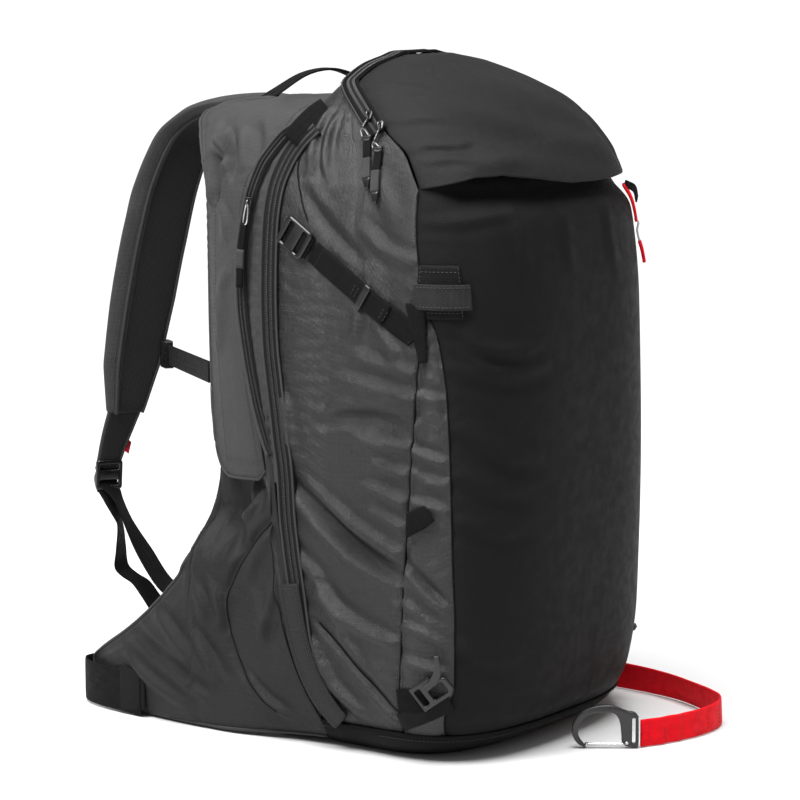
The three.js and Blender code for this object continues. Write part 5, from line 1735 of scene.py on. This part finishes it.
def fin_grid(rows, columns, side, lift=0.0, start=None):
    """Points of a hip fin: rows from its lower edge up, columns from its front edge or `start` to its tip."""
    v = np.linspace(0, 1, rows)[:, None]
    u = np.linspace(0, 1, columns)[None, :]
    front = fin_front(mix(6, 236, v)) if start is None else np.full_like(v, float(start))
    y = mix(front, 286.0, u)
    z = mix(fin_bottom(y), fin_top(y), v)
    flank_x = half_width(z) + 0.8
    fin = fin_x(y) + FIN_THICK
    x = mix(flank_x, fin, ease(back_y(z) - 12, 112, y))
    # the upper edge turns in behind the strap
    tucked = np.maximum(27 * ease(192, 250, z) * ease(56, 74, y), 37 * ease(156, 200, z) * ease(82, 104, y))
    x = x - tucked + lift
    return np.stack([side * x, y, z], -1)


def make_hip(side):
    word = SIDES[side]
    base = fin_grid(60, 84, side)
    y, z = base[..., 1], base[..., 2]
    u, v = np.linspace(0, 1, 84)[None, :], np.linspace(0, 1, 60)[:, None]
    folds = creases(y, z, HIP_FOLDS)
    crown = 3.0 * np.sin(math.pi * v) ** 0.5 * ease(100, 140, y) * ease(1.0, 0.8, u)
    spare = 0.018 + 0.01 * ease(120, 60, y)
    grid = finish_panel(f"{word}_hip_cloth", base, [GREY_HIP, FOAM], (0.8, 0.6, 0.6, 1.0),
                        spare=(spare, spare * 0.7), folds=folds + crown, seed=71 + side, cap=5.0, reach=3,
                        away_from=(0, 60, 200), body=None,
                        nodes=(f"{word}_hip_fin",))
    hip_blend(f"{word}_hip_cloth", side)
    foam_base = fin_grid(40, 44, side, lift=-9.0, start=104)[2:-2]
    foam = fabric_panel(f"{word}_hip_foam", foam_base, FOAM, thick=4, away_from=(side * 300, 160, 100))
    hip_blend(foam.name, side)
    bind_hip(grid, word, side)
    sew_hip(grid, word, side)
    make_waist_web(word, side)


def bind_hip(grid, word, side):
    """Binding round the free edge of a fin."""
    edge = np.concatenate([grid[-1, 26:], grid[-2::-3, -1], grid[0, ::-3]])
    rim = smooth_line(edge[::3], 200)
    rim[:, 2] = np.maximum(rim[:, 2], RIM_LOWEST)
    inward = np.tile([-side * 4.4, 0, 0.0], (200, 1))
    way = unit(np.gradient(rim, axis=0))
    out = unit(np.cross(way, inward))
    centre = np.array([side * 150, 170, 60.0])
    out = out * np.sign(np.einsum("ij,ij->i", out, rim - centre))[:, None]
    outline = round_outline(2.4, 12) * [1.25, 1] + [0, 1.0]
    binding = sweep(f"{word}_hip_binding", rim + inward, inward, outline, PIPING, out)
    hip_blend(binding.name, side)


def sew_hip(grid, word, side):
    """Stitches under a fin's top edge, and the seam across it."""
    rows = [(grid[-4, 26:] + [side * 0.7, 0, 0], np.tile([side * 1.0, 0, 0], (58, 1)))]
    sewing = stitches(f"{word}_hip_stitches", rows)
    sewing.parent = None
    hip_blend(sewing.name, side)
    # The seam across the fin is a dark cord on the cloth. It is painted shade for the seam's dark line beside
    # its crease.
    flat = smooth_line(HIP_SEAM, 90)
    seam = np.column_stack([np.full(90, side * 160.0), flat])
    seam_normals = np.tile([float(side), 0, 0], (90, 1))
    seam = on_piece(f"{word}_hip_cloth", seam, seam_normals, lift=0.1)
    tube(f"{word}_hip_seam", seam, 0.7, DARK_PIPING_AND_SEAM_SHADE, body=None)
    hip_blend(f"{word}_hip_seam", side)


def hip_blend(name, side):
    """Applies a piece's modifiers and bakes its place into its mesh; the ends of the line where the fin's
    root is sewn to the pack are worked out but not used.
    """
    obj = bpy.data.objects[name]
    apply_modifiers(obj)
    start, end = ((side * 0.157, y, 0.1) for y in (0.086, 0.118))
    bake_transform(obj)
    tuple(start)
    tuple(end)


WAIST_PATH = [(-163.2, 208), (-161.6, 232), (-157, 262), (-149, 284), (-137, 296), (-122, 293), (-112, 277),
              (-106, 256), (-97, 242), (-82, 236), (-66, 236)]


def make_waist_web(word, side):
    line = smooth_line([(x * -side, y, 21.5) for x, y in WAIST_PATH], 90)
    half = (0, 0, 19.5)
    web_strip(f"{word}_waist_web", line + np.array([side * 1.2, 0, 0]), half, WEB_BLACK, (side, 0.3, 0),
              nodes=(f"{word}_hip_webbing",), body=f"{word}_hip", thick=2)
    patch = smooth_line([(side * -x, y, 24) for x, y in ((-164.5, 204), (-164.4, 218), (-163, 234))], 10)
    half = np.linspace(17, 22, 10)[:, None] * np.array([0, 0, 1.0])
    web_strip(f"{word}_waist_patch", patch, half, BLACK_SHELL, (side, 0, 0),
              body=f"{word}_hip", thick=1.4)


# ---------------------------------------------------------------- trim on the bag
def make_compression(side):
    word = SIDES[side]
    run = [STRAP_TOP, (-40, 409.5), STRAP_BOTTOM, (-96, 374)]
    line, normals, across = laid_side(run, side, 60, half=9, lift=0.2, span=6)
    tape(f"{word}_compression_web", line, normals, 20, WEB_THICK, WEB_BLACK,
         nodes=(f"{word}_compression_strap",))
    second = line[4:44] + normals[4:44] * 1.9
    tape(f"{word}_compression_layer", second, normals[4:44], 19, 1.5, WEB_BLACK)
    tape(f"{word}_compression_keeper", even(line[29:33], 6) + normals[29] * 3.5,
         np.tile(normals[30], (6, 1)), 23, WEB_THICK, PLASTIC)
    patch = [(-94, 405), (-96, 390), (-99, 372), (-102, 354)]
    spot, spot_normals, _ = laid_side(patch, side, 24, half=6, lift=0.9, span=3)
    half = across_of(spot, spot_normals) * np.linspace(9, 3.5, 24)[:, None]
    finished(sweep(f"{word}_compression_patch", spot + spot_normals * 0.8, half, flat_outline(2.4), WEB_BLACK,
                   spot_normals))
    place = side_frame(30, 453, 4.2, (-0.85, -0.53), side)
    holes = [rounded(-11, -5.5, -10.5, 10.5, 1.4), rounded(5.5, 11, -10.5, 10.5, 1.4)]
    plate(f"{word}_compression_ladder", rounded(-16, 16, -13.5, 13.5, 4), holes, 5, 1.5, place, PLASTIC,
          nodes=(f"{word}_compression_lock",))
    upper = [(36, 457), (24, 449.5), (14, 443.5)]
    band, band_normals, _ = laid_side(upper, side, 14, half=8, lift=3.2, span=3)
    tape(f"{word}_lock_web", band, band_normals, 19.5, 1.5, WEB_BLACK)
    cross = [(line[[k]] + across[[k]] * np.linspace(-8, 8, 9)[:, None] + normals[k] * 3.6,
              np.tile(normals[k], (9, 1))) for k in (43, 41, 27, 25)]
    stitches(f"{word}_compression_stitches", cross)


def make_tool_patch():
    """Stitched holder on the front's left edge: a base with a loose band across it."""
    def band(name, z0, z1, y_from, x_to, lift, thick, material, bow=0.0, nodes=()):
        columns, rows = 22, 9
        grid = []
        for z in np.linspace(z0, z1, rows):
            start, end = float(side_angle(y_from, z)), float(front_angle(x_to, z))
            grid.append(bag_rim(np.linspace(start, end, columns), np.full(columns, float(z))))
        grid = np.array(grid)
        n = facing(grid)
        flat, flat_n = grid.reshape(-1, 3), n.reshape(-1, 3)
        height = heights_over(TREES, flat, flat_n).reshape(rows, columns)
        height = np.maximum(blurred(height, 2), height)
        rise = lift + bow * np.sin(math.pi * np.linspace(0, 1, columns)) ** 1.2
        top = grid + n * (height + rise + thick)[..., None]
        finished(fabric_panel(name, top, material, thick=thick), nodes=nodes)
        return top, n

    base, base_n = band("tool_patch_base", 391, 437, -95, -137, 0.2, 1.2, BLACK_SHELL,
                        nodes=("tool_holder_patch",))
    loop, loop_n = band("tool_patch_band", 399, 421, -92, -132.5, 1.6, 1.6, WEB_SOFT, bow=4.0)
    rows = [(grid[k] + normal[k] * 0.2, normal[k]) for grid, normal in ((base, base_n), (loop, loop_n))
            for k in (1, -2)]
    rows += [(base[:, k] + base_n[:, k] * 0.2, base_n[:, k]) for k in (1, -2)]
    stitches("tool_patch_stitches", rows)


def make_gear_loop(side):
    """Folded webbing loop that stands out of the strip's rear seam and points forward."""
    word = SIDES[side]
    run = [(-90, 217), (-101, 217), (-112, 217)]
    line, normals, _ = laid_side(run, side, 9, half=8, lift=0.6, span=4)
    ahead = line[-1] - line[0]
    place = frame_at(line[4] + normals[4] * 1.6, ahead, np.cross(normals[4], ahead))
    outline = [(-12, -15), (4, -6), (14, 2), (5, 14), (3, 14.4), (-12, 7)]
    loop = plate(f"{word}_gear_loop", outline, [], 3.2, 1.2, place, WEB_BLACK)
    local = np.array([list(place.inverted() @ v.co) for v in loop.data.vertices]) / MM
    add_weave(loop, local[:, 0], local[:, 1])


def make_hook(side):
    """Hook buckle at the bag's lower corner, on webbing over a black patch."""
    word = SIDES[side]
    body = f"{word}_hook"
    run = [(-77, 56), (-92, 57), (-104, 60)]
    line, normals, _ = laid_side(run, side, 16, half=9, lift=0.4, span=4)
    tape(f"{word}_hook_web", line, normals, 21, WEB_THICK, WEB_BLACK)
    patch = [(-78, 36), (-100, 46), (-122, 58)]
    spot, spot_normals, _ = laid_side(patch, side, 20, half=6, lift=0.2, span=4)
    tape(f"{word}_hook_patch", spot, spot_normals, 17, 1.2, BLACK_SHELL)
    place = side_frame(-110, 70, 5.6, (-0.72, 0.6), side)
    outline = [(-17, -12), (12, -12), (17, -8), (17, 2), (13, 6.5), (5, 7), (4, 12), (-17, 12)]
    holes = [rounded(-14, -8.5, -8, 8, 1.2), rounded(-3, 12, -8, 2.5, 1.6)]
    plate(f"{word}_hook_body", outline, holes, 4.6, 1.3, place, PLASTIC_GREY, body,
          nodes=(f"{word}_hook_buckle",))
    arm = [(-3, 2), (8, 3), (15, 7), (20, 14), (24, 22), (21, 25), (16, 19), (11, 12.5), (4, 9.5), (-4, 9)]
    if side > 0:
        arm = [(-3, 2), (8, 3), (14, 6), (15, 10), (10, 11.5), (4, 9.5), (-4, 9)]
    plate(f"{word}_hook_arm", arm, [], 3.4, 1.0, place @ Matrix.Translation((0, 0, 0.0022)), PLASTIC_GREY,
          body)


def make_pocket_pull():
    """Red pulls of the front pocket's zip, on the right below the flap."""
    top, low = (100, 489), (113, 448)
    body = "pocket_pull"
    flat = smooth_line([top, (106, 474), low], 24)
    line, normals, across = laid(on_front(flat[:, 0], flat[:, 1]), 4, 1.4, span=4)
    tape("pocket_pull_web", line[:20], normals[:20], 8.6, 2.6, WEB_RED, body,
         nodes=("pocket_zip_pull",))
    cord_points = smooth_line([line[18], line[20] + normals[20] * 3, line[22] + [3, 0, -4],
                               line[23] + [5, -1, -12]], 20)
    tube("pocket_pull_cord", cord_points, 1.0, THREAD_PALE, body)
    end = cord_points[-1]
    second = smooth_line([end, end + [3, -1, -8], end + [7, -1, -19]], 12)
    web_strip("pocket_pull_end", second, across[10] * 4.2, WEB_RED, normals[10],
              body=body, thick=3.0)
    first = smooth_line([line[0] + normals[0] * 3, line[0] + [12, 0, -6] + normals[0] * 5,
                         line[0] + [20, 2, -16] + normals[0] * 5], 16)
    web_strip("pocket_pull_tab", first, np.array([0.5, -0.5, 3.4]), WEB_BLACK, normals[0], body=body,
              thick=2.0)


# ---------------------------------------------------------------- leg loop and carabiner
LEG_WEB_HALF = 12.4
LEG_ROUTE = [(155.5, 62), (166, 42), (175, 12), (181, -30), (182, -76), (179, -120), (170, -160),
             (155, -193), (140, -219), (124, -237), (100, -246), (72, -246), (46, -240), (24, -232),
             (7, -223)]


def make_leg_loop():
    route = smooth_line([(x, y, 12.8) for x, y in LEG_ROUTE], 160)
    far = along(route)
    ripple = ease(370, 400, far) * ease(far[-1] + 6, far[-1] - 20, far)
    way = unit(np.gradient(route, axis=0))
    side = np.cross(way, [0, 0, 1.0])
    line = route + side * (0.55 * np.sin(far / 3.4) * ripple)[:, None]
    lean = 0.22 * np.exp(-((far - 245) / 60) ** 2)
    half = unit(np.array([0, 0, 1.0]) + side * lean[:, None]) * LEG_WEB_HALF
    web = sweep("leg_loop_web", line, half, flat_outline(2.0), WEB_RED, np.cross(unit(half), way))
    finished(web, nodes=("leg_loop_webbing",))
    tacks = [(line[[k]] + half[[k]] * np.linspace(-0.85, 0.85, 10)[:, None] + side[k] * s * 1.1,
              np.tile(side[k] * s, (10, 1))) for k in (122, 130, 150, 156) for s in (-1, 1)]
    sewing = stitches("leg_loop_stitches", tacks, THREAD_RED)
    parts = make_carabiner()


def make_carabiner():
    """Flat forged body with a webbing slot at its post, a hooked nose and a double-wire gate."""
    place = frame_at((4.5, -221, 0), (-31, 45, 0), (0, 0, 1))
    outer = [(-1, 28.5), (2.5, 32.5), (10, 34), (22, 38.6), (34, 38.4), (45, 35.4), (53, 29.5),
             (57.5, 21), (57.6, 12), (54, 5), (48, 0.8), (45.2, 0.6), (47.6, 4.2), (51.4, 9.4),
             (52.4, 15), (50.6, 22), (45.6, 28), (37, 31.4), (25, 32.2), (18.6, 29.6), (15.6, 23),
             (14.2, 12), (13.6, 4.6), (9, 1.4), (1, 0.6), (-1.2, 3.6)]
    smooth = smooth_line(outer + outer[:1], 90)[:-1]
    slot = rounded(1.6, 4.6, 4.4, 27, 1.0)
    body = plate("carabiner_body", smooth.tolist(), [slot], 5.4, 1.5, place, ANODISED,
                 nodes=("carabiner_frame",))
    wires = []
    for k, lift in enumerate((-1.5, 1.5)):
        points = [(9, 4.6, lift), (13, 3.6, lift * 1.1), (28, 3.4, lift * 0.9), (44, 3.4, lift * 0.5)]
        wires.append(tube(f"carabiner_wire_{k + 1}", smooth_line(placed(place, points), 30), 0.9, STEEL,
                          "gate", nodes=("carabiner_gate",) if k == 0 else ()))
    tip = placed(place, [(44, 3.4, -1.6), (46, 3.6, 0), (44, 3.4, 1.6)])
    wires.append(tube("carabiner_wire_end", smooth_line(tip, 12), 1.1, STEEL, "gate"))
    pin = tube("carabiner_pin", even(placed(place, [(9.4, 4.6, -3.4), (9.4, 4.6, 3.4)]), 6), 1.5, STEEL)
    return [body, pin, *wires]


# ---------------------------------------------------------------- back pads
def make_pad(name, node, channels, seed):
    """Foam pad on the back: crowned between its sewn channels, with sides pulled in at the corners."""
    low, high = (np.array(c) * 1000 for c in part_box(node))
    middle, size = (low + high) / 2, (high - low) / 2
    rows, columns = 110, 80
    v, u = np.meshgrid(np.linspace(-1, 1, rows), np.linspace(-1, 1, columns), indexing="ij")
    x = size[0] * u * (1 - 0.05 * v ** 4 - 0.03 * (1 - v ** 2))
    z = size[2] * v * (1 - 0.05 * u ** 4)
    edge = 1 - (np.abs(u) ** 5 + (1 - (1 - np.abs(v)) * size[2] / size[0]).clip(0) ** 5) ** 0.2
    rise = 2 * size[1] * (0.35 + 0.65 * ease(-0.02, 0.34, edge))
    for at in channels:
        rise -= 4.5 * np.exp(-((v - at - 0.05 * u ** 2) / 0.045) ** 2) * ease(0, 0.12, edge)
    rise += noise_field((rows, columns), 9, seed) * 0.7
    outer = np.stack([middle[0] + x, low[1] - 0.2 + rise, middle[2] + z], -1)
    pad = fabric_panel(name, outer, FOAM, away_from=(0, 0, 300), thick=3)
    finished(pad, nodes=(node,))
    border = np.concatenate([outer[0], outer[:, -1], outer[-1, ::-1], outer[::-1, 0]])
    ring = smooth_line(border[::4], 220)
    tube(f"{name}_binding", ring - [0, 2.2, 0], 2.6, PIPING)


# ---------------------------------------------------------------- CAD pieces that stay
def finish_cad_pieces():
    """Gives each CAD piece that still shows its material and soft, moulded edges."""
    slots = {part["node"]: part["material_slot"] for part in frame["record"]["subparts"]}
    for name, obj in frame["nodes"].items():
        if obj.hide_render:
            continue
        obj.data.materials.clear()
        obj.data.materials.append(SLOT_MATERIALS[slots[name]])
        modify(obj, "WELD", merge_threshold=0.00001)
        modify(obj, "BEVEL", width=0.0006, segments=2, limit_method="ANGLE", angle_limit=0.6)


make_seams()
make_lid_zip()
make_back_unit()
for each_side in SIDES:
    make_split_zip(each_side)
make_shoulder_trim(*make_shoulder())
make_shoulder_foam()
make_strap_gusset()
make_burst_zip()
make_haul_loop()
make_right_strap()
make_strap_stub()
make_ladder_lock()
make_tail()
make_sternum()
for each_side in SIDES:
    make_hip(each_side)
    make_compression(each_side)
    make_gear_loop(each_side)
    make_hook(each_side)
make_tool_patch()
make_pocket_pull()
make_leg_loop()
make_pad("back_cushion", "back_pad", (-0.45, 0.0, 0.45), 81)
make_pad("lumbar_cushion", "lumbar_pad", (), 82)
finish_cad_pieces()
